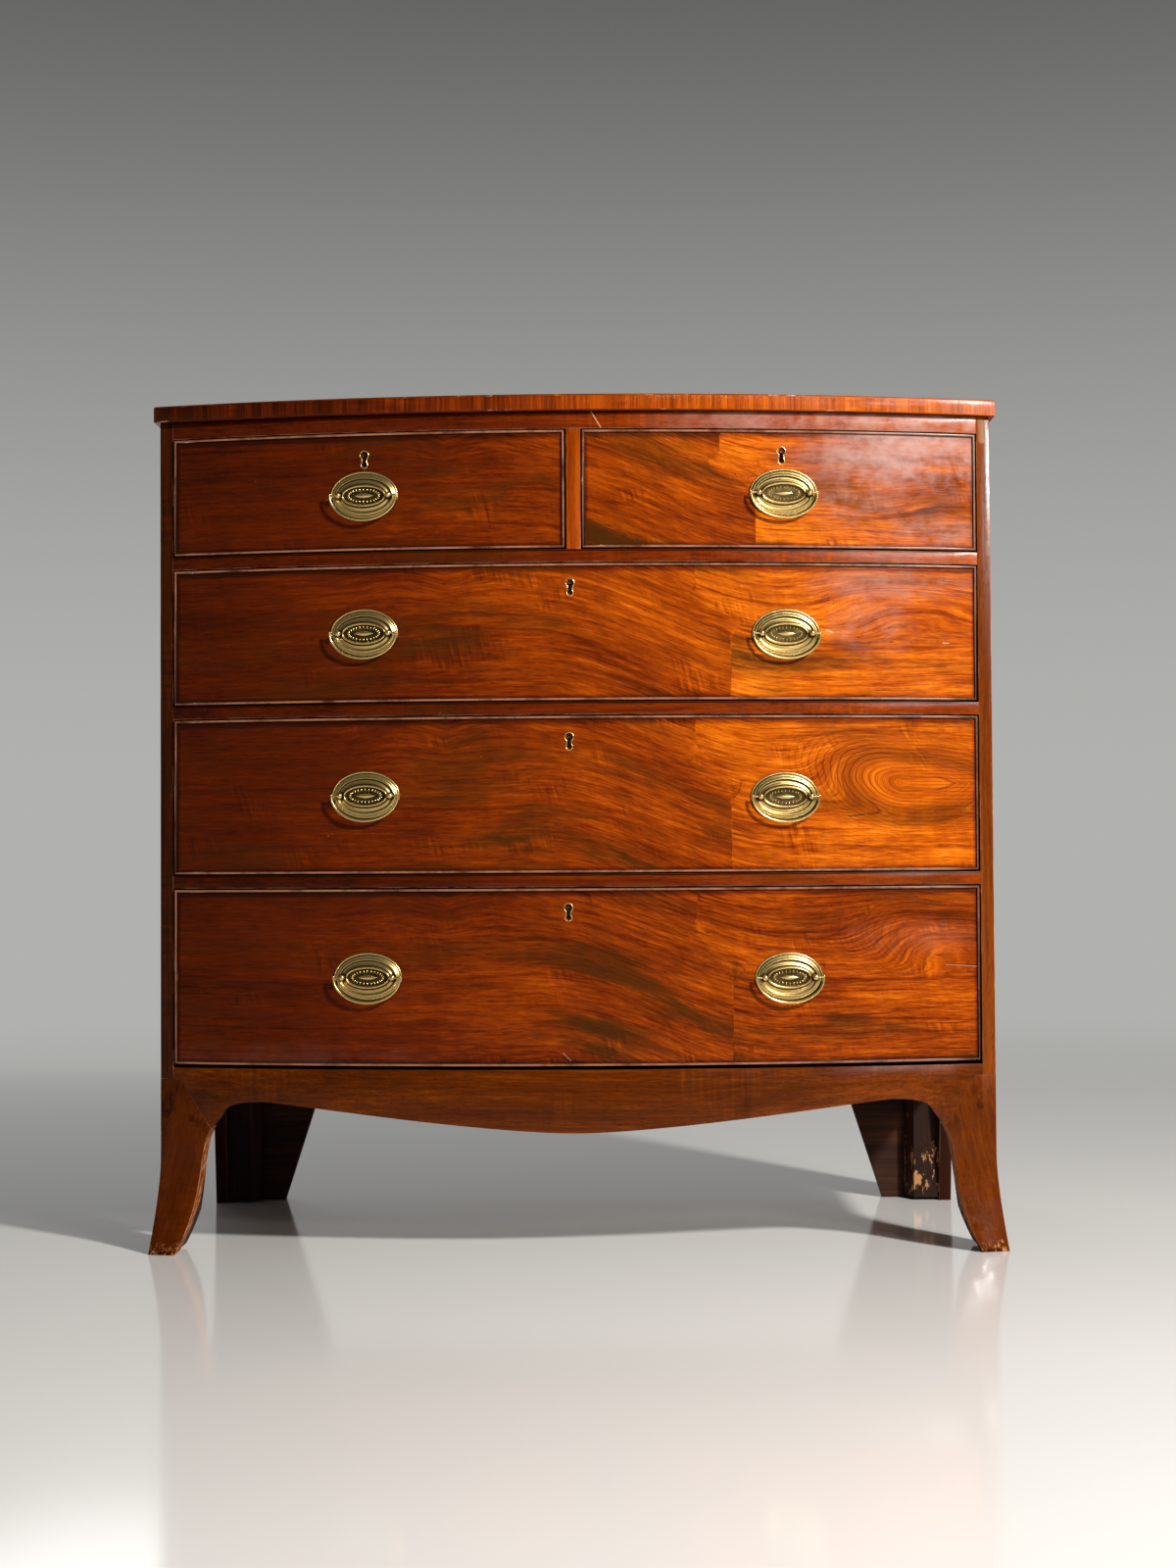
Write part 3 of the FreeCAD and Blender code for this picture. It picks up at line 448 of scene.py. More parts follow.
def veneer_joint(g, x, h, half, shift, seed):
    """1 in the right leaf and 0 in the left one. The joint is sharp near the upper and the
    lower edge, and steps to the right over a soft stretch between them."""
    joint = g.step(h, half * 0.50, half * 0.10, JOINT_UPPER + shift, JOINT_LOWER + shift)
    joint = joint + g.noise(x * 9, h * 40, seed, 3.0) * 0.004
    blur = g.step(g.math("ABSOLUTE", h - half * 0.3), half * 0.45, 0.0, 0.0006, 0.030)
    return g.clamp(g.math("MULTIPLY_ADD", (x - joint) / blur, 0.5, 0.5))


def veneer_flow(g, x, h, half, eye, eye_share, seed):
    """How the grain runs: the distance across it, the share that the swirl has in it, and the
    distances from the swirl's eye, as its lines go and straight."""
    # the grain falls to the right in the middle of the front and lies level elsewhere
    drift = g.noise(x * 2.0, h * 4, seed, 2.0) * 0.020
    across = h + g.step(x, *FALL_ENDS, 0.0, FALL) + drift
    # cathedral waves near the upper edge, left of the middle
    crown = g.math("ABSOLUTE", x - CROWN_X)
    crown_share = g.step(crown, 0.14, 0.01) * g.step(h, half * 0.2, half)
    across = across - crown_share * crown * CROWN_HEIGHT
    # the swirl: lines run round its left side and on to the right
    jag = g.noise(x * 60, h * 140, seed, 3.0, 0.6) * 0.0022
    left_part = g.math("MINIMUM", x - eye[0], 0.0)
    tall = (h - eye[1] + left_part * 0.18) * SWIRL_TALL
    round_eye = g.length(left_part, tall)
    eye_reach = g.math("SQRT", (x - eye[0]) * (x - eye[0]) * 0.55 + tall * tall)
    share = g.step(eye_reach, 0.120, 0.03) * eye_share
    across = across + share * (round_eye * 0.9 + drift - across) + jag
    return across, share, round_eye + jag, eye_reach


def veneer(name, node, figure, seed):
    """The two figured leaves on a drawer front, as FIGURES describes them."""
    eye, eye_share, tones, joint_shift, marks, cracks, bloom_glare_spots = figure
    low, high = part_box(node)
    half = (high.z - low.z) / 2
    g = Graph(name)
    x, y, z = place = g.split("Object")
    h = z - (low.z + high.z) / 2
    right = veneer_joint(g, x, h, half, joint_shift, seed)
    across, share, round_eye, eye_reach = veneer_flow(g, x, h, half, eye, eye_share, seed)
    flow = x, across, 0.0
    shift = right * 0.9 + seed
    clouds = g.grain(flow, VENEER_CLOUDS, shift + 9.0)
    ring = g.math("ABSOLUTE", g.grain(flow, VENEER_RINGS, shift + 20.0))
    ring = g.step(ring, 0.024, 0.0) * (right * 0.12 + 0.05)
    wave = round_eye + g.noise(x * 12, h * 18, seed, 2.0) * 0.018
    swirl = g.step(g.math("SINE", wave * SWIRL_WAVES), 0.62, 1.0)
    swirl = swirl * g.step(eye_reach, 0.145, 0.05) * g.step(eye_reach, 0.006, 0.035)
    swirl = swirl * (SWIRL_DEPTH * eye_share)
    pores = g.step(g.grain(flow, VENEER_PORES, shift), 0.10, 0.22)
    ripple = g.noise(x * 230 + across * 60, across * 22, shift, 2.0, 0.6)
    ripple = ripple * (g.step(g.noise(x * 13, h * 24, shift, 2.0), 0.08, 0.20) * 0.42 + 0.05)

    # darker and plainer towards the left: partly the veneer's own tone, partly painted shade
    base = g.step(x, -0.50, 0.12, tones[0], tones[1])
    base = base + right * (g.step(x, 0.15, 0.5, tones[2], tones[3]) - base)
    tone = g.layers(flow, VENEER, shift) + clouds * 0.36 + ripple
    tone = tone * (g.step(x, -0.45, 0.25, 0.80, 1.75) - share * 0.7) - ring - swirl + base
    # painted shade beside the beads, darker within a few millimetres of the front's edges
    nearest = z - low.z
    for distance in (high.z - z, x - low.x, high.x - x):
        nearest = g.math("MINIMUM", nearest, distance)
    tone = tone - g.step(nearest, 0.009, 0.003) * 0.24

    smoke = g.step(g.grain(flow, VENEER_SMOKE, shift + 31.0), -0.02, 0.15)
    smoke = smoke * g.step(x, -0.45, -0.05, 0.25, 0.80) * g.step(x, 0.45, 0.15, 0.65, 1.0)
    smoke = smoke * g.step(h, half, -half, 0.65, 1.2)
    # milk-white polish, partly painted glare, at the places given
    bloom_glare = g.most(*(g.step(g.length((x - middle[0]) / reach[0], (z - middle[1]) / reach[1]),
                            1.0, 0.25) * strength for middle, reach, strength in bloom_glare_spots))
    worn, split = lines_of(g, x, z, marks), lines_of(g, x, z, cracks)
    # the back, the edges and the dovetail sockets are bare wood
    ground, ground_pores = fibres(g, (x, z, y), seed + 5.0)
    front = g.math("LESS_THAN", g.split("Normal")[1], -0.5)
    bare = 1.0 - front
    tone = tone * front + bare * (ground + BARE_TONE)
    pores = pores * front + bare * ground_pores
    return polished(g, tone, pores, place, seed, worn, split, bare, smoke * front, bloom_glare)


def edge_polish(name, tones, rubbed_highlight_colour, share, seed, only_under=False):
    """A paler arris here and there, partly polish worn through to paler wood and partly a
    painted highlight, or with only_under just where it looks down, and low on the feet also
    towards the middle. Its tones are darker to the left, partly by painted shade."""
    g = Graph(name)
    x, _, z = place = g.split("Object")
    patches = g.cloud(place, 26, seed, 4.0, 0.6)
    worn_and_highlit = g.step(patches, 0.12 - share * 0.3, 0.22 - share * 0.2)
    if only_under:
        facing_x, _, facing_z = g.split("Normal")
        inner = g.step(facing_x * x, -0.10, -0.26) * g.step(z, 0.180, 0.150)
        worn_and_highlit = worn_and_highlit * g.most(g.step(facing_z, -0.12, -0.45), inner)
    tone = g.cloud(place, 40, seed, 3.0) * 0.5 + g.step(x, *CASE_ENDS, *tones)
    tint = g.blend(worn_and_highlit, g.ramp(tone, BROWN_POLISH), rubbed_highlight_colour)
    return g.shade(Base_Color=tint, Roughness=patches * 0.3 + 0.35, Specular_IOR_Level=0.12)


BEAD_NOSE = (-0.90, -0.99)  # y of the normal, from beside the nose to its middle
# sides of the beads in painted shade; the nose paler, partly worn and partly painted highlight
BEAD_SIDE_SHADE = (0.026, 0.0075, 0.0020)
BEAD_DARK = (0.072, 0.018, 0.006)
BEAD_NOSE_WEAR_HIGHLIGHT = (0.27, 0.108, 0.057)


def bead_polish(name, seed):
    """Cock beads: painted shade beside the nose, which is pinkish, partly worn and partly a
    painted highlight, least at the right end.
    """
    g = Graph(name)
    place = g.split("Object")
    nose = g.step(g.split("Normal")[1], *BEAD_NOSE)
    patches = g.cloud(place, 22, seed, 4.0, 0.6)
    fine = g.cloud(place, 130, seed, 3.0, 0.6)
    worn_and_highlit = g.step(patches + fine * 0.3, -0.24, 0.12) * g.step(place[0], 0.47, 0.50, 1.0, 0.45)
    colour = g.blend(nose, BEAD_SIDE_SHADE, g.blend(worn_and_highlit, BEAD_DARK, BEAD_NOSE_WEAR_HIGHLIGHT))
    return g.shade(Base_Color=colour, Roughness=patches * 0.20 + 0.28,
                   Specular_IOR_Level=0.22, Normal=g.bump(fine * 0.00012, 0.6))


# ---- Bare wood inside and below ----
OAK = ((0.0, (0.090, 0.047, 0.021)), (0.45, (0.27, 0.155, 0.072)), (1.0, (0.48, 0.32, 0.165)))
PINE = ((0.0, (0.066, 0.030, 0.013)), (0.45, (0.22, 0.106, 0.044)), (1.0, (0.43, 0.24, 0.105)))
# pine stained dark and darkened further as painted shade, for the rear feet and glue blocks
# under the case
STAINED_SHADED = ((0.0, (0.004, 0.0013, 0.0006)), (0.45, (0.017, 0.0055, 0.0022)),
           (0.8, (0.056, 0.018, 0.0065)), (1.0, (0.16, 0.058, 0.020)))
TORN = (0.40, 0.19, 0.080)


def bare_wood(name, colours, grain, seed, lines=26.0, base=0.5, chips=0.0):
    """Dry wood with so many growth lines to the metre, dust and, where chips is over 0, torn
    pale patches, most of them low down and at the right."""
    g = Graph(name)
    x, y, z = place = g.split("Object")
    along, across, deep = {"x": (x, z, y), "y": (y, x, z), "z": (z, x, y)}[grain]
    wander = g.grain((along, across, deep), (1.5, 5), seed)
    board = along, across + wander * 0.045, deep
    bands = g.grain(board, (1.2, lines, 3.0, 0.55), seed)
    fine = g.grain(board, (8, lines * 7, 3.0, 0.6), seed)
    dust = g.cloud(place, 11, seed, 4.0, 0.6)
    colour = g.ramp(bands + fine * 0.55 + dust * 0.35 + base, colours)
    height = fine * 0.0005 + bands * 0.0003
    if chips:
        torn = g.cloud(place, 90, seed, 4.0, 0.65, upright=38)
        torn = torn + g.step(z, 0.15, 0.03, -0.12, 0.05) + g.step(x, -0.3, 0.3, -0.16, 0.0)
        torn = g.step(torn, 0.20 - chips * 0.1, 0.25 - chips * 0.1)
        colour = g.blend(torn * 0.9, colour, TORN)
        height = height - torn * 0.0008
    return g.shade(Base_Color=colour, Roughness=dust * 0.2 + 0.72, Normal=g.bump(height, 0.8),
                   Specular_IOR_Level=0.15)


# ---- Metal ----
BRASS = (0.57, 0.375, 0.115)
BRIGHT_BRASS = (0.85, 0.625, 0.250)
TARNISH_AND_SHADE = (0.034, 0.022, 0.007)
BRASS_SPECK = (0.13, 0.085, 0.030)
IRON = (0.060, 0.052, 0.045)
RUST = (0.055, 0.022, 0.009)


def aged_brass(name):
    """Brass with patina in its hollows, and painted shade under the bail, in the upper dip and
    about the posts, read from the mesh's value of patina and painted shade.
    """
    g = Graph(name)
    place = g.split("Object")
    patina_and_shade = g.field(g.add("Attribute", {}, attribute_name="tarnish_and_shade"), "Fac")
    clouds = g.cloud(place, 110, 0.0, 4.0, 0.6)
    specks = g.step(g.cloud(place, 420), 0.18, 0.30)
    tarnish_and_shade = g.step(patina_and_shade + clouds * 0.45, 0.12, 0.85)
    colour = g.blend(tarnish_and_shade, g.blend(clouds + 0.5, BRASS, BRIGHT_BRASS), TARNISH_AND_SHADE)
    colour = g.blend(specks * 0.35, colour, BRASS_SPECK)
    rough = tarnish_and_shade * 0.25 + clouds * 0.14 + 0.24
    height = clouds * 0.00010 - specks * 0.00004
    return g.shade(Base_Color=colour, Metallic=0.95, Roughness=rough,
                   Normal=g.bump(height, 0.5))


def old_iron(name):
    """Dull iron with level file marks and thin rust."""
    g = Graph(name)
    x, y, z = place = g.split("Object")
    clouds = g.cloud(place, 70, 0.0, 5.0, 0.65)
    rust = g.step(clouds, 0.05, 0.2)
    filed = g.noise(x * 60, y * 60, z * 1100, 2.0)
    return g.shade(Base_Color=g.blend(rust, IRON, RUST), Metallic=0.7,
                   Roughness=clouds * 0.3 + rust * 0.2 + 0.42,
                   Normal=g.bump(filed * 0.0001 + clouds * 0.0002, 0.7))


# ---- Meshes ----
SHARP_ANGLE = math.radians(50)


class Shape:
    """Points and faces with a value of patina and painted shade at each point, drawn in
    millimetres facing -Y about the middle of a handle or keyhole."""

    def __init__(self):
        self.points = []
        self.faces = []
        self.tarnish_and_shade = []

    def loop(self, points, tarnish_and_shade=0.0):
        first = len(self.points)
        self.points += [Vector(p) * MM for p in points]
        self.tarnish_and_shade += [tarnish_and_shade] * len(points)
        return list(range(first, len(self.points)))

    def skin(self, loops, cap_first=False, cap_last=False):
        """Quads between closed loops of one length, with flat caps if asked for."""
        for low, high in zip(loops, loops[1:]):
            for n in range(len(low)):
                self.faces.append((low[n - 1], low[n], high[n], high[n - 1]))
        if cap_first:
            self.faces.append(tuple(loops[0]))
        if cap_last:
            self.faces.append(tuple(reversed(loops[-1])))

    def add(self, other, matrix):
        """Another shape, moved by a matrix whose lengths are metres."""
        first = len(self.points)
        self.points += [matrix @ p for p in other.points]
        self.tarnish_and_shade += other.tarnish_and_shade
        self.faces += [tuple(first + n for n in face) for face in other.faces]

    def build(self, name, material):
        mesh = bpy.data.meshes.new(name)
        mesh.from_pydata(self.points, [], self.faces)
        mesh.validate()
        tarnish_and_shade = mesh.attributes.new("tarnish_and_shade", "FLOAT", "POINT")
        tarnish_and_shade.data.foreach_set("value", self.tarnish_and_shade)
        mesh.polygons.foreach_set("use_smooth", [True] * len(mesh.polygons))
        mesh.set_sharp_from_angle(angle=SHARP_ANGLE)
        mesh.materials.append(material)
        made = bpy.data.objects.new(name, mesh)
        bpy.context.scene.collection.objects.link(made)
        return made


def turns(count, first=0.0):
    """Angles that divide a full turn; first is where they start, in parts of a step."""
    return [2 * math.pi * (n + first) / count for n in range(count)]


def oval(half_width, half_height, out, sides, x=0.0):
    """Loop of an oval, out millimetres in front of the face."""
    return [(x + half_width * math.cos(t), -out, half_height * math.sin(t))
            for t in turns(sides)]


# ---- Brasses: shapes in millimetres, places in metres ----
PLATE_WIDTH, PLATE_HEIGHT = 43.0, 31.0  # half sizes
PLATE_SIDES = 96
# moulding of a plate from its rim to its middle: distance in from the rim, measured on the
# short axis, height, and tarnish
PLATE_MOULDING = (
    (0.0, 0.0, 0.9), (0.0, 0.9, 0.5), (0.4, 1.6, 0.05), (1.1, 2.0, 0.0), (1.9, 1.8, 0.1),
    (2.5, 1.2, 0.7), (2.9, 1.0, 1.0), (3.3, 1.3, 0.7), (4.0, 1.8, 0.25), (5.0, 2.2, 0.2),
    (5.6, 2.3, 0.3), (5.9, 2.2, 0.7), (6.2, 2.4, 0.4), (7.2, 3.0, 0.25), (8.2, 3.5, 0.1),
    (8.9, 3.6, 0.10), (9.4, 3.3, 0.35), (9.9, 2.4, 0.55), (10.6, 1.7, 0.55), (11.6, 1.5, 0.45),
    (12.8, 1.7, 0.35), (13.8, 2.3, 0.30), (14.8, 2.8, 0.35), (15.6, 3.0, 0.75),
    (16.2, 3.1, 1.0), (16.8, 3.8, 0.75), (17.3, 5.1, 0.0), (18.2, 5.9, 0.0), (19.1, 5.9, 0.0),
    (19.8, 5.3, 0.2), (20.3, 4.4, 1.0), (21.0, 4.1, 1.0), (21.9, 4.0, 0.85),
    (24.0, 3.9, 0.75), (27.5, 3.8, 0.80), (30.6, 3.9, 0.9))
PLATE_MIDDLE = 0.4  # half size of the flat in the very middle
BOSS_TAPER = 16.4 / 19.0  # the bands are this much narrower on the long axis
BOSS_FLOOR = 21.9  # from here inwards the long axis closes in faster
BAIL_DIRT_AND_SHADOW = (0.95, 3.6, -4.0)  # patina and painted shadow of the bail on the rim under it, how far in, below which z
GROOVE_SHADE = (0.85, (9.3, 11.0), 3.0)  # painted shade in the upper half of the moulding's dip: amount, from and to, above which z
POST_DIRT_AND_SHADE = (1.7, 5.0)  # patina and painted shade about the posts, and the distance over which it drops by 1
RAY_OVAL = (19.6, 7.7)
RAY_COUNT = 26
RAY_SIZE = (0.95, 1.95, 1.5)  # half width, half length, height
RAY_STEPS, RAY_SIDES = 4, 10
RAY_BASE = 3.8  # height of the ground under the rays and the navette
NAVETTE = (12.5, 3.1, 1.9)  # half length, half width, height
NAVETTE_STEPS, NAVETTE_SIDES = 24, 9
POST_X = 31.75
# radius and height of a post from the plate to its top
KNOP = ((2.2, 3.0), (2.2, 4.6), (3.0, 5.0), (3.0, 5.6), (2.3, 6.0), (3.0, 6.6), (3.5, 7.6),
        (3.7, 8.9), (3.5, 10.3), (2.9, 11.4), (1.9, 12.1), (0.8, 12.4))
KNOP_SIDES = 20
KNOP_NECK = 6.2  # below this it is half tarnished
SHANK_HALF = 2.0
SHANK_ENDS = (-3.2, 27.0)  # y from the face
NUT = (4.6, 3.4)  # radius of its corners, thickness
NUT_SECTION = ((1.0, 0.0), (1.0, 0.75), (0.86, 1.0), (0.45, 1.0))
BAIL_WIDTH, BAIL_DROP = 42.0, 31.0
BAIL_RADIUS, BAIL_SWELL = 1.35, 0.5  # at its ends, and how much more in the middle
BAIL_STEPS, BAIL_SIDES = 40, 12
BAIL_TIPS = ((2.4, 0.35), (2.0, 1.1), (1.3, 1.5), (0.7, 1.35))  # height, radius
PIN_RADIUS = 1.2
PIN_END = 28.6  # x of its inner end


def plate_dirt_and_shade(inward, x, z):
    """Patina and painted shade of a point of the plate, apart from the patina of its moulding.
    """
    most, fade = POST_DIRT_AND_SHADE
    dirt_and_shade = most - math.hypot(abs(x) - POST_X, z) / fade
    amount, reach, top = BAIL_DIRT_AND_SHADOW
    if inward < reach and z < top:
        dirt_and_shade = max(dirt_and_shade, amount)
    amount, (start, end), bottom = GROOVE_SHADE
    if start < inward < end and z > bottom:
        dirt_and_shade = max(dirt_and_shade, amount)
    return dirt_and_shade


def moulded_plate():
    shape = Shape()
    loops = []
    for inward, height, tarnish_and_shade in PLATE_MOULDING:
        along = min(inward, PLATE_HEIGHT - PLATE_MIDDLE)
        width = PLATE_WIDTH - along * BOSS_TAPER
        if inward > BOSS_FLOOR:
            share = (inward - BOSS_FLOOR) / (PLATE_HEIGHT - BOSS_FLOOR)
            width = (PLATE_WIDTH - BOSS_FLOOR * BOSS_TAPER) * (1 - share) + PLATE_MIDDLE
        points = oval(width, PLATE_HEIGHT - along, height, PLATE_SIDES)
        loops.append(shape.loop(points))
        for n, (x, _, z) in zip(loops[-1], points):
            shape.tarnish_and_shade[n] = max(tarnish_and_shade, plate_dirt_and_shade(inward, x, z))
    shape.skin(loops, cap_last=True)
    return shape


def ray():
    """Low drop standing on the plate, its length along Z."""
    shape = Shape()
    half_width, half_length, height = RAY_SIZE
    loops = []
    for n in range(RAY_STEPS + 1):
        rise = 0.5 * math.pi * n / (RAY_STEPS + 0.5)
        size = math.cos(rise)
        points = oval(half_width * size, half_length * size, height * math.sin(rise), RAY_SIDES)
        loops.append(shape.loop(points, 0.9 * max(0.0, 1.0 - 2.0 * n / RAY_STEPS)))
    shape.skin(loops, cap_last=True)
    return shape


def navette():
    """Long pointed seed in the middle of the boss, with a ridge along it."""
    shape = Shape()
    half_length, half_width, height = NAVETTE
    rows = []
    for n in range(NAVETTE_STEPS + 1):
        t = -1 + 2 * n / NAVETTE_STEPS
        width = half_width * (1 - t * t) + 0.02
        ridge = height * (1 - t * t) ** 0.6
        across = [-1 + 2 * k / (NAVETTE_SIDES - 1) for k in range(NAVETTE_SIDES)]
        rows.append(shape.loop([(half_length * t, -RAY_BASE - ridge * (1 - abs(u) ** 1.6),
                                 width * u) for u in across], 0.1))
    for row in rows:
        shape.tarnish_and_shade[row[0]] = shape.tarnish_and_shade[row[-1]] = 0.9
    for low, high in zip(rows, rows[1:]):
        for k in range(NAVETTE_SIDES - 1):
            shape.faces.append((low[k], high[k], high[k + 1], low[k + 1]))
    return shape


def post(side):
    """Post with its knop, the shank through the drawer front and the nut behind."""
    shape = Shape()
    x = side * POST_X
    shape.skin([shape.loop(oval(radius, radius, out, KNOP_SIDES, x),
                           0.5 if out < KNOP_NECK else 0.0) for radius, out in KNOP],
               cap_last=True)
    h = SHANK_HALF
    shape.skin([shape.loop([(x - h, y, -h), (x + h, y, -h), (x + h, y, h), (x - h, y, h)], 0.6)
                for y in SHANK_ENDS], cap_last=True)
    radius, thickness = NUT
    face = FRONT_THICKNESS / MM
    shape.skin([shape.loop(oval(radius * size, radius * size, -face - deep * thickness, 6, x),
                           0.5) for size, deep in NUT_SECTION])
    return shape


def bail_shape():
    """Slim round bar along half an oval, thicker in the middle, with pins into the posts."""
    shape = Shape()
    stations = []  # middle, way along the bar, radius
    for n in range(BAIL_STEPS + 1):
        t = math.pi * n / BAIL_STEPS
        middle = Vector((-BAIL_WIDTH * math.cos(t), 0, -BAIL_DROP * math.sin(t)))
        way = Vector((BAIL_WIDTH * math.sin(t), 0, -BAIL_DROP * math.cos(t))).normalized()
        stations.append((middle, way, BAIL_RADIUS + BAIL_SWELL * math.sin(t)))
    up = Vector((0, 0, 1))
    left, right = stations[0][0], stations[-1][0]
    stations = ([(left + up * rise, -up, radius) for rise, radius in BAIL_TIPS] + stations
                + [(right + up * rise, up, radius) for rise, radius in reversed(BAIL_TIPS)])
    loops = []
    for middle, way, radius in stations:
        side = Vector((0, 1, 0)).cross(way)
        loops.append(shape.loop([middle + side * (radius * math.cos(t))
                                 + Vector((0, radius * math.sin(t), 0))
                                 for t in turns(BAIL_SIDES)], 0.15))
    shape.skin(loops, cap_first=True, cap_last=True)
    for side in (-1, 1):
        shape.skin([shape.loop([(side * x, PIN_RADIUS * math.cos(t), PIN_RADIUS * math.sin(t))
                                for t in turns(BAIL_SIDES)], 0.4)
                    for x in (BAIL_WIDTH, PIN_END)], cap_last=True)
    return shape


# outline of a keyhole: height of each round end's middle, and its outer radius
KEY_ENDS = ((5.4, 6.0), (-6.8, 4.7))
KEY_WAIST = 3.6  # half width of its neck
KEY_ARC_STEPS = 20
# section of its brass thread: distance inwards, height and tarnish
KEY_SECTION = ((0.0, -0.3, 0.5), (0.0, 0.05, 0.1), (0.3, 0.3, 0.0), (0.9, 0.3, 0.0),
               (1.2, 0.0, 0.4), (1.2, -3.0, 0.9))


def keyhole_loop(inset, out):
    """Outline of the brass thread, as in the CAD but rounder."""
    points = []
    for (z, radius), start in zip(KEY_ENDS, (-0.5 * math.pi, 0.5 * math.pi)):
        radius -= inset
        waist = math.asin((KEY_WAIST - inset) / radius)
        sweep = 2 * (math.pi - waist)
        for n in range(KEY_ARC_STEPS + 1):
            t = start + waist + sweep * n / KEY_ARC_STEPS
            points.append((radius * math.cos(t), -out, z + radius * math.sin(t)))
    return points


def key_thread():
    shape = Shape()
    shape.skin([shape.loop(keyhole_loop(inset, out), tarnish_and_shade)
                for inset, out, tarnish_and_shade in KEY_SECTION])
    return shape


def on_front(x, z):
    """Matrix that takes a shape drawn facing -Y to a place on the bowed front."""
    turn = math.asin(x / BOW_RADIUS)
    y = CORNER_Y - BOW_RISE + BOW_RADIUS * (1 - math.cos(turn))
    return Matrix.Translation((x, y, z)) @ Matrix.Rotation(turn, 4, "Z")


def handle_places():
    """Body of each bail: the drawer's body and the matrix of the plate's middle."""
    places = {}
    for joint in frame["joints"]:
        if joint["type"] == "hinge":
            x, _, z = joint["pos_m"]
            face_x = x * BOW_RADIUS / (BOW_RADIUS + POST_STANDOFF)
            places[joint["child"]] = (joint["parent"], on_front(face_x, z))
    return places


def ray_places():
    """Matrices of the rays round the navette, each standing across the oval that they follow."""
    wide, tall = RAY_OVAL
    for t in turns(RAY_COUNT, 0.5):
        x, z = wide * math.cos(t), tall * math.sin(t)
        lean = math.atan2(math.cos(t) / wide, math.sin(t) / tall)
        spot = Matrix.Translation((x * MM, -RAY_BASE * MM, z * MM))
        yield spot @ Matrix.Rotation(lean, 4, "Y")


def key_place(drawer):
    low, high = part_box("lock_bolt_" + drawer)
    x = (low.x + high.x) / 2 * BOW_RADIUS / (BOW_RADIUS - BOLT_DEPTH)
    return on_front(x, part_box("lock_" + drawer)[0].z + KEY_ABOVE_LOCK)


def fit_brass(shape, name, material, body, node):
    """Makes a brass piece that rides on a body and stands for a CAD node."""
    made = shape.build(name, material)
    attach(made, body)
    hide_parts(node)


def make_brasses(material):
    fixed = Shape()  # what does not move of a handle
    for part in (moulded_plate(), navette(), post(-1), post(1)):
        fixed.add(part, Matrix.Identity(4))
    one_ray = ray()
    for place in ray_places():
        fixed.add(one_ray, place)
    thread, bar = key_thread(), bail_shape()
    places = handle_places()
    for drawer in DRAWERS:
        body = "drawer_" + drawer
        fittings = Shape()
        fittings.add(thread, key_place(drawer))
        for parent, place in places.values():
            if parent == body:
                fittings.add(fixed, place)
        fit_brass(fittings, "brass_fittings_" + drawer, material, body, "brasses_" + drawer)
    for body, (_, place) in places.items():
        bail = Shape()
        bail.add(bar, place @ Matrix.Translation((0, -POST_STANDOFF, 0)))
        fit_brass(bail, body.replace("handle", "brass_bail"), material, body,
                  body.replace("handle", "bail"))


# ---- Finish of the CAD pieces ----
ARRIS, TOP_ARRIS, BEAD_ARRIS = 0.6 * MM, 0.9 * MM, 1.1 * MM  # widths of rounded edges
WELD_DISTANCE = 0.02 * MM
FLAT_ANGLE = math.radians(0.4)  # faces that differ by less are one flat face
ARRIS_ANGLE = math.radians(35)  # edges sharper than this are rounded


def soften(name, width, segments=2):
    """Rounds the arrises of a CAD piece; the rounded faces take its second material."""
    piece = nodes[name]
    mesh = piece.data
    mesh.polygons.foreach_set("use_smooth", [True] * len(mesh.polygons))
    weld = piece.modifiers.new("weld", "WELD")
    weld.merge_threshold = WELD_DISTANCE
    flat = piece.modifiers.new("flat", "DECIMATE")
    flat.decimate_type = "DISSOLVE"
    flat.angle_limit = FLAT_ANGLE
    bevel = piece.modifiers.new("arris", "BEVEL")
    bevel.width = width
    bevel.segments = segments
    bevel.limit_method = "ANGLE"
    bevel.angle_limit = ARRIS_ANGLE
    bevel.harden_normals = True
    bevel.use_clamp_overlap = True
    bevel.material = 1


def paint(name, *materials):
    slots = nodes[name].data.materials
    slots.clear()
    for material in materials:
        slots.append(material)


# marks on the case, each by its ends (x and z on the front), width and strength
RAIL_SCRATCH = (((0.0225, 1.0449), (0.0345, 1.0253), 0.0009, 0.9),)
STILE_PATCH = (((0.5140, 1.0400), (0.5150, 1.0160), 0.0055, 0.25),)
RAIL_CHIP = (((0.0262, 0.8572), (0.0384, 0.8570), 0.0022, 1.0),)
APRON_SPLIT = (((0.2964, 0.2213), (0.3418, 0.2169), 0.0009, 0.6),)
# drawer rails: number, tones (darker to the left partly by painted shade), marks, and milk-white
# polish that is partly painted glare
RAILS = ((1, (0.08, 0.50), RAIL_CHIP, (0.20, 0.50, 0.45)), (2, (0.08, 0.48), (), None),
         (3, (0.06, 0.48), (), None))


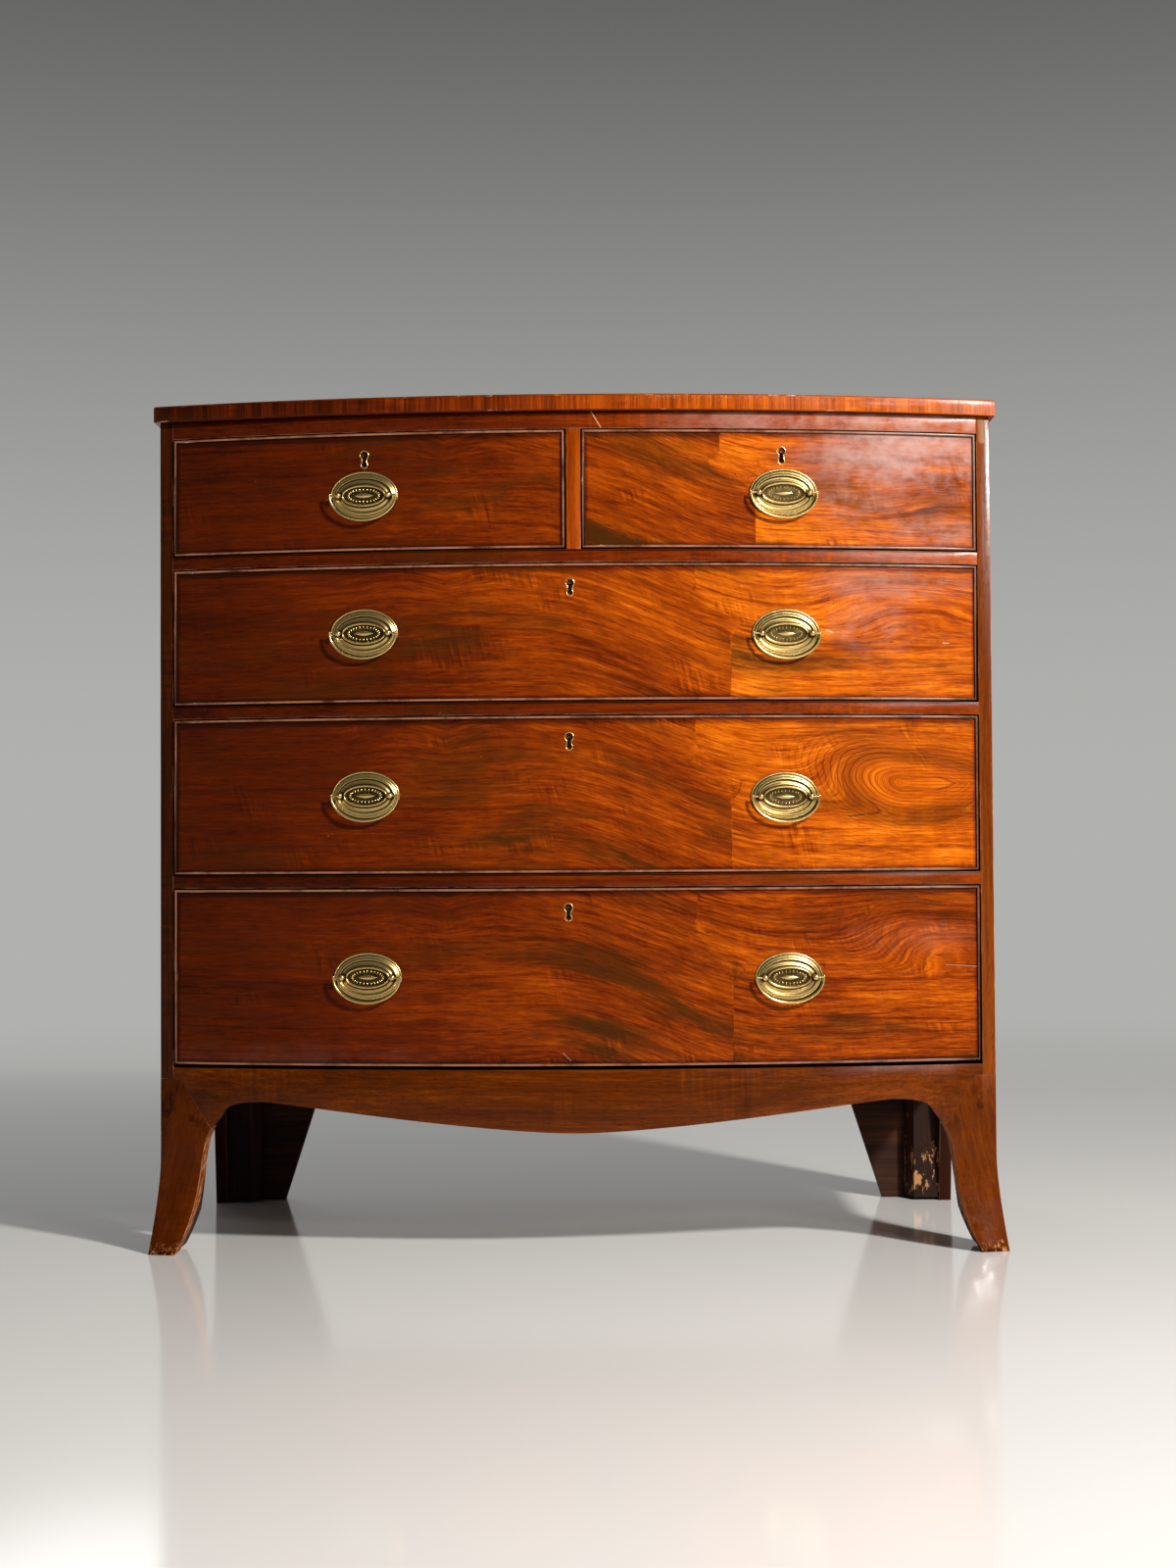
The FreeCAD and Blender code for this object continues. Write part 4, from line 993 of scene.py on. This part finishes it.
def finish_case():
    # paler arrises here and there: partly worn polish, partly painted highlight; tones darker to
    # the left partly by painted shade
    arris = edge_polish("worn_highlit_arris", (0.15, 0.50), (0.42, 0.160, 0.070), 0.45, 1.0)
    top_arris = edge_polish("top_arris", (0.10, 0.60), (0.50, 0.25, 0.14), 0.10, 5.0)
    low_arris = edge_polish("low_arris", (0.10, 0.36), (0.34, 0.165, 0.095), 0.75, 2.0, True)
    edges = {"top_board": top_arris, "side_left": arris, "side_right": arris,
             "centre_divider": arris}
    # the left pieces are given darker tones than the right ones, partly by painted shade
    plans = {
        # milk-white polish on its right, partly painted glare
        "top_board": mahogany("top_mahogany", "x", (0.34, 0.50), 3.0, edge_tone=(0.03, 0.64),
                              milky_glare=(0.20, 0.50, 0.55)),
        "side_left": mahogany("left_side_mahogany", "z", (0.30, 0.30), 11.0, front_tone=0.04,
                              raw_side=-1),
        "side_right": mahogany("right_side_mahogany", "z", (0.42, 0.42), 17.0, STILE_PATCH,
                               front_tone=0.35, raw_side=1),
        # painted shade along its upper edge and faces; milk-white polish at the right, partly
        # painted glare
        "top_rail": mahogany("top_rail_mahogany", "x", (0.08, 0.58), 21.0, RAIL_SCRATCH,
                             shaded_top_z=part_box("top_rail")[1].z, milky_glare=(0.05, 0.32, 0.90)),
        "centre_divider": mahogany("divider_mahogany", "z", (0.54, 0.54), 23.0),
        "apron": mahogany("apron_mahogany", "x", (0.21, 0.25), 31.0, (), APRON_SPLIT,
                          front_tone=0.21),
        "front_foot_left": foot_mahogany("left_foot_mahogany", -1, 0.20, -0.10, 33.0),
        "front_foot_right": foot_mahogany("right_foot_mahogany", 1, 0.27, 0.05, 35.0),
        "side_plinth_left": mahogany("left_plinth_mahogany", "y", (0.25, 0.25), 37.0,
                                     raw_side=-1, raw_edges=True),
        "side_plinth_right": mahogany("right_plinth_mahogany", "y", (0.35, 0.35), 39.0,
                                      raw_side=1, raw_edges=True),
    }
    for number, tones, marks, milky_glare in RAILS:
        name = "drawer_rail_%d" % number
        # painted shade along each rail's upper edge and faces; milk-white polish where given,
        # partly painted glare
        plans[name] = mahogany("rail_%d_mahogany" % number, "x", tones, 23.0 + 2 * number,
                               marks, shaded_top_z=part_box(name)[1].z, milky_glare=milky_glare)
    for name, material in plans.items():
        paint(name, material, edges.get(name, low_arris))
        soften(name, TOP_ARRIS if name == "top_board" else ARRIS)
    beads = bead_polish("bead_mahogany", 41.0)
    for drawer in DRAWERS:
        paint("cock_beads_" + drawer, beads, beads)
        soften("cock_beads_" + drawer, BEAD_ARRIS, 3)


# figure of each front: the middle of its swirl, as x and the height above the middle of the
# front, and how far the swirl shows; tones at the left end, at the joint, just right of it and
# at the right end, darker to the left partly by painted shade; shift of the joint; pale marks
# and dark cracks, each by its ends, width and strength; milk-white polish that is partly
# painted glare, each place by its middle, reach and strength
FIGURES = {
    "short_left": ((0.60, 0.0), 0.0, (0.12, 0.41, 0.6, 0.6), 0.5, (), (), ()),
    "short_right": (
        (0.46, -0.02), 0.15, (0.24, 0.44, 0.65, 0.62), 0.032, (), (),
        (((0.43, 0.995), (0.20, 0.075), 1.0), ((0.35, 0.930), (0.07, 0.035), 0.6),
         ((0.45, 0.90), (0.08, 0.03), 0.5))),
    "long_upper": (
        (0.40, 0.030), 0.20, (0.13, 0.48, 0.70, 0.62), 0.0,
        (((0.3135, 0.7733), (0.3221, 0.7709), 0.0014, 1.0),
         ((0.462, 0.7585), (0.470, 0.7585), 0.0010, 0.8)),
        (((0.3904, 0.7629), (0.5003, 0.7729), 0.0007, 0.5),),
        (((0.37, 0.775), (0.07, 0.05), 0.40), ((0.40, 0.830), (0.14, 0.03), 0.40))),
    "long_middle": (
        (0.408, 0.014), 0.9, (0.15, 0.45, 0.62, 0.65), 0.0, (),
        (((0.3399, 0.5414), (0.3597, 0.5438), 0.0011, 1.0),), ()),
    "long_lower": (
        (0.45, 0.040), 0.30, (0.14, 0.42, 0.475, 0.475), 0.0,
        (((-0.0165, 0.2515), (-0.0070, 0.2425), 0.0012, 0.40),
         ((0.4616, 0.3560), (0.5034, 0.3530), 0.0006, 0.6)),
        (((0.4616, 0.3571), (0.5034, 0.3540), 0.0009, 1.0),
         ((-0.0150, 0.2470), (-0.0030, 0.2420), 0.0050, 0.35)),
        (((-0.35, 0.243), (0.24, 0.030), 0.07), ((0.42, 0.39), (0.12, 0.03), 0.10))),
}


def finish_drawers():
    oak = bare_wood("drawer_oak", OAK, "y", 51.0, lines=30.0, base=0.52)
    iron = old_iron("lock_iron")
    for number, drawer in enumerate(DRAWERS):
        front = "drawer_front_" + drawer
        paint(front, veneer("veneer_" + drawer, front, FIGURES[drawer], 61.0 + 4.3 * number))
        paint("drawer_box_" + drawer, oak)
        paint("lock_" + drawer, iron)
        paint("lock_bolt_" + drawer, iron)


def finish_inside():
    across = bare_wood("pine_across", PINE, "x", 71.0)
    to_back = bare_wood("pine_front_to_back", PINE, "y", 73.0)
    upright = bare_wood("pine_back", PINE, "z", 75.0, lines=22.0, base=0.44)
    stained_shaded = bare_wood("stained_shaded_pine", STAINED_SHADED, "x", 77.0, lines=60.0, base=0.55)
    block = bare_wood("glue_block_pine", STAINED_SHADED, "z", 79.0, lines=60.0, base=0.46, chips=1.35)
    for wood, names in ((across, ("top_back_rail", "bottom_board", "drawer_stops")),
                        (to_back, ("drawer_runners", "dust_boards")),
                        (upright, ("back_boards",)),
                        (stained_shaded, ("rear_foot_left", "rear_foot_right")),
                        (block, ("glue_blocks",))):
        for name in names:
            paint(name, wood)


# ---- Floor and light ----
BACKDROP = (0.44, 0.44, 0.425)
BACKDROP_FRONT = 0.60  # how bright it is on the camera's side, as a part of that
BACKDROP_TURN = (-0.6, 0.9)  # y of the directions between which it brightens to the back
BACKDROP_HIGH = 0.20  # how bright it is overhead
BACKDROP_RISE = (0.02, 0.42)  # sines of the heights between which it darkens
FLOOR = (0.67, 0.66, 0.64)
FLOOR_PALEST = 1.06  # how much brighter its palest clouds are
FLOOR_HALF = 9.0
FLOOR_FADE = (1.5, 4.5)  # distances over which the floor turns into the backdrop
WORLD_LIGHT = 0.13
# lamps: name, place, what it looks at, size, power and colour
LAMPS = (("key", (2.35, -2.75, 2.55), (0.1, -0.2, 0.55), 0.35, 268, (1.0, 0.97, 0.93)),
         ("glow", (2.10, -3.30, 1.75), (0.3, -0.2, 0.9), 0.40, 26, (1.0, 0.98, 0.95)),
         ("back", (-1.2, 3.0, 2.2), (0.0, 0.2, 0.5), 2.0, 16, (0.97, 0.98, 1.0)))


def make_floor():
    """Pale floor that keeps the shadow near the object and fades into the backdrop."""
    g = Graph("floor")
    x, y, _ = g.split("Object")
    clouds = g.noise(x * 1.6, y * 1.6, 4.0, 4.0)
    colour = g.blend(clouds + 0.5, FLOOR, tuple(c * FLOOR_PALEST for c in FLOOR))
    floor_shader = g.add("BsdfPrincipled", {"Base Color": colour, "Specular IOR Level": 0.5,
                                            "Roughness": clouds * 0.06 + 0.11})
    distance = g.length(x, y)
    strength = g.step(y / distance, *BACKDROP_TURN, BACKDROP_FRONT, 1.0)
    glow = g.add("Emission", {"Color": (*BACKDROP, 1.0), "Strength": strength})
    far = g.step(distance, *FLOOR_FADE) * g.seen_by("Is Camera Ray", "Is Glossy Ray")
    material = g.end(g.mix(far, floor_shader, glow))
    h = FLOOR_HALF
    mesh = bpy.data.meshes.new("floor")
    mesh.from_pydata([(-h, -h, 0), (h, -h, 0), (h, h, 0), (-h, h, 0)], [], [(0, 1, 2, 3)])
    mesh.materials.append(material)
    floor = bpy.data.objects.new("floor", mesh)
    bpy.context.scene.collection.objects.link(floor)


def softbox(name, place, aim, size, power, colour):
    data = bpy.data.lights.new(name, "AREA")
    data.shape = "DISK"
    data.size = size
    data.energy = power
    data.color = colour
    lamp = bpy.data.objects.new(name, data)
    lamp.location = place
    way = Vector(aim) - Vector(place)
    lamp.rotation_euler = way.to_track_quat("-Z", "Y").to_euler()
    bpy.context.scene.collection.objects.link(lamp)


def make_light():
    """The lamps, and a world that shows the backdrop but lights the object evenly."""
    for lamp in LAMPS:
        softbox(*lamp)
    world = bpy.data.worlds.new("world")
    g = Graph(None, world)
    _, way_y, way_z = g.split("Generated")
    strength = g.step(way_y, *BACKDROP_TURN, BACKDROP_FRONT, 1.0)
    strength = strength * g.step(way_z, *BACKDROP_RISE, 1.0, BACKDROP_HIGH)
    lit = g.add("Background", {"Color": (1.0, 1.0, 1.0, 1.0), "Strength": WORLD_LIGHT})
    shown = g.add("Background", {"Color": (*BACKDROP, 1.0), "Strength": strength})
    seen = g.seen_by("Is Camera Ray", "Is Glossy Ray", "Is Transmission Ray")
    g.end(g.mix(seen, lit, shown), "OutputWorld")
    bpy.context.scene.world = world


# ---- Scene ----
make_camera()
finish_case()
finish_drawers()
finish_inside()
make_brasses(aged_brass("aged_brass"))
make_floor()
make_light()
bpy.context.scene.view_settings.view_transform = "Standard"
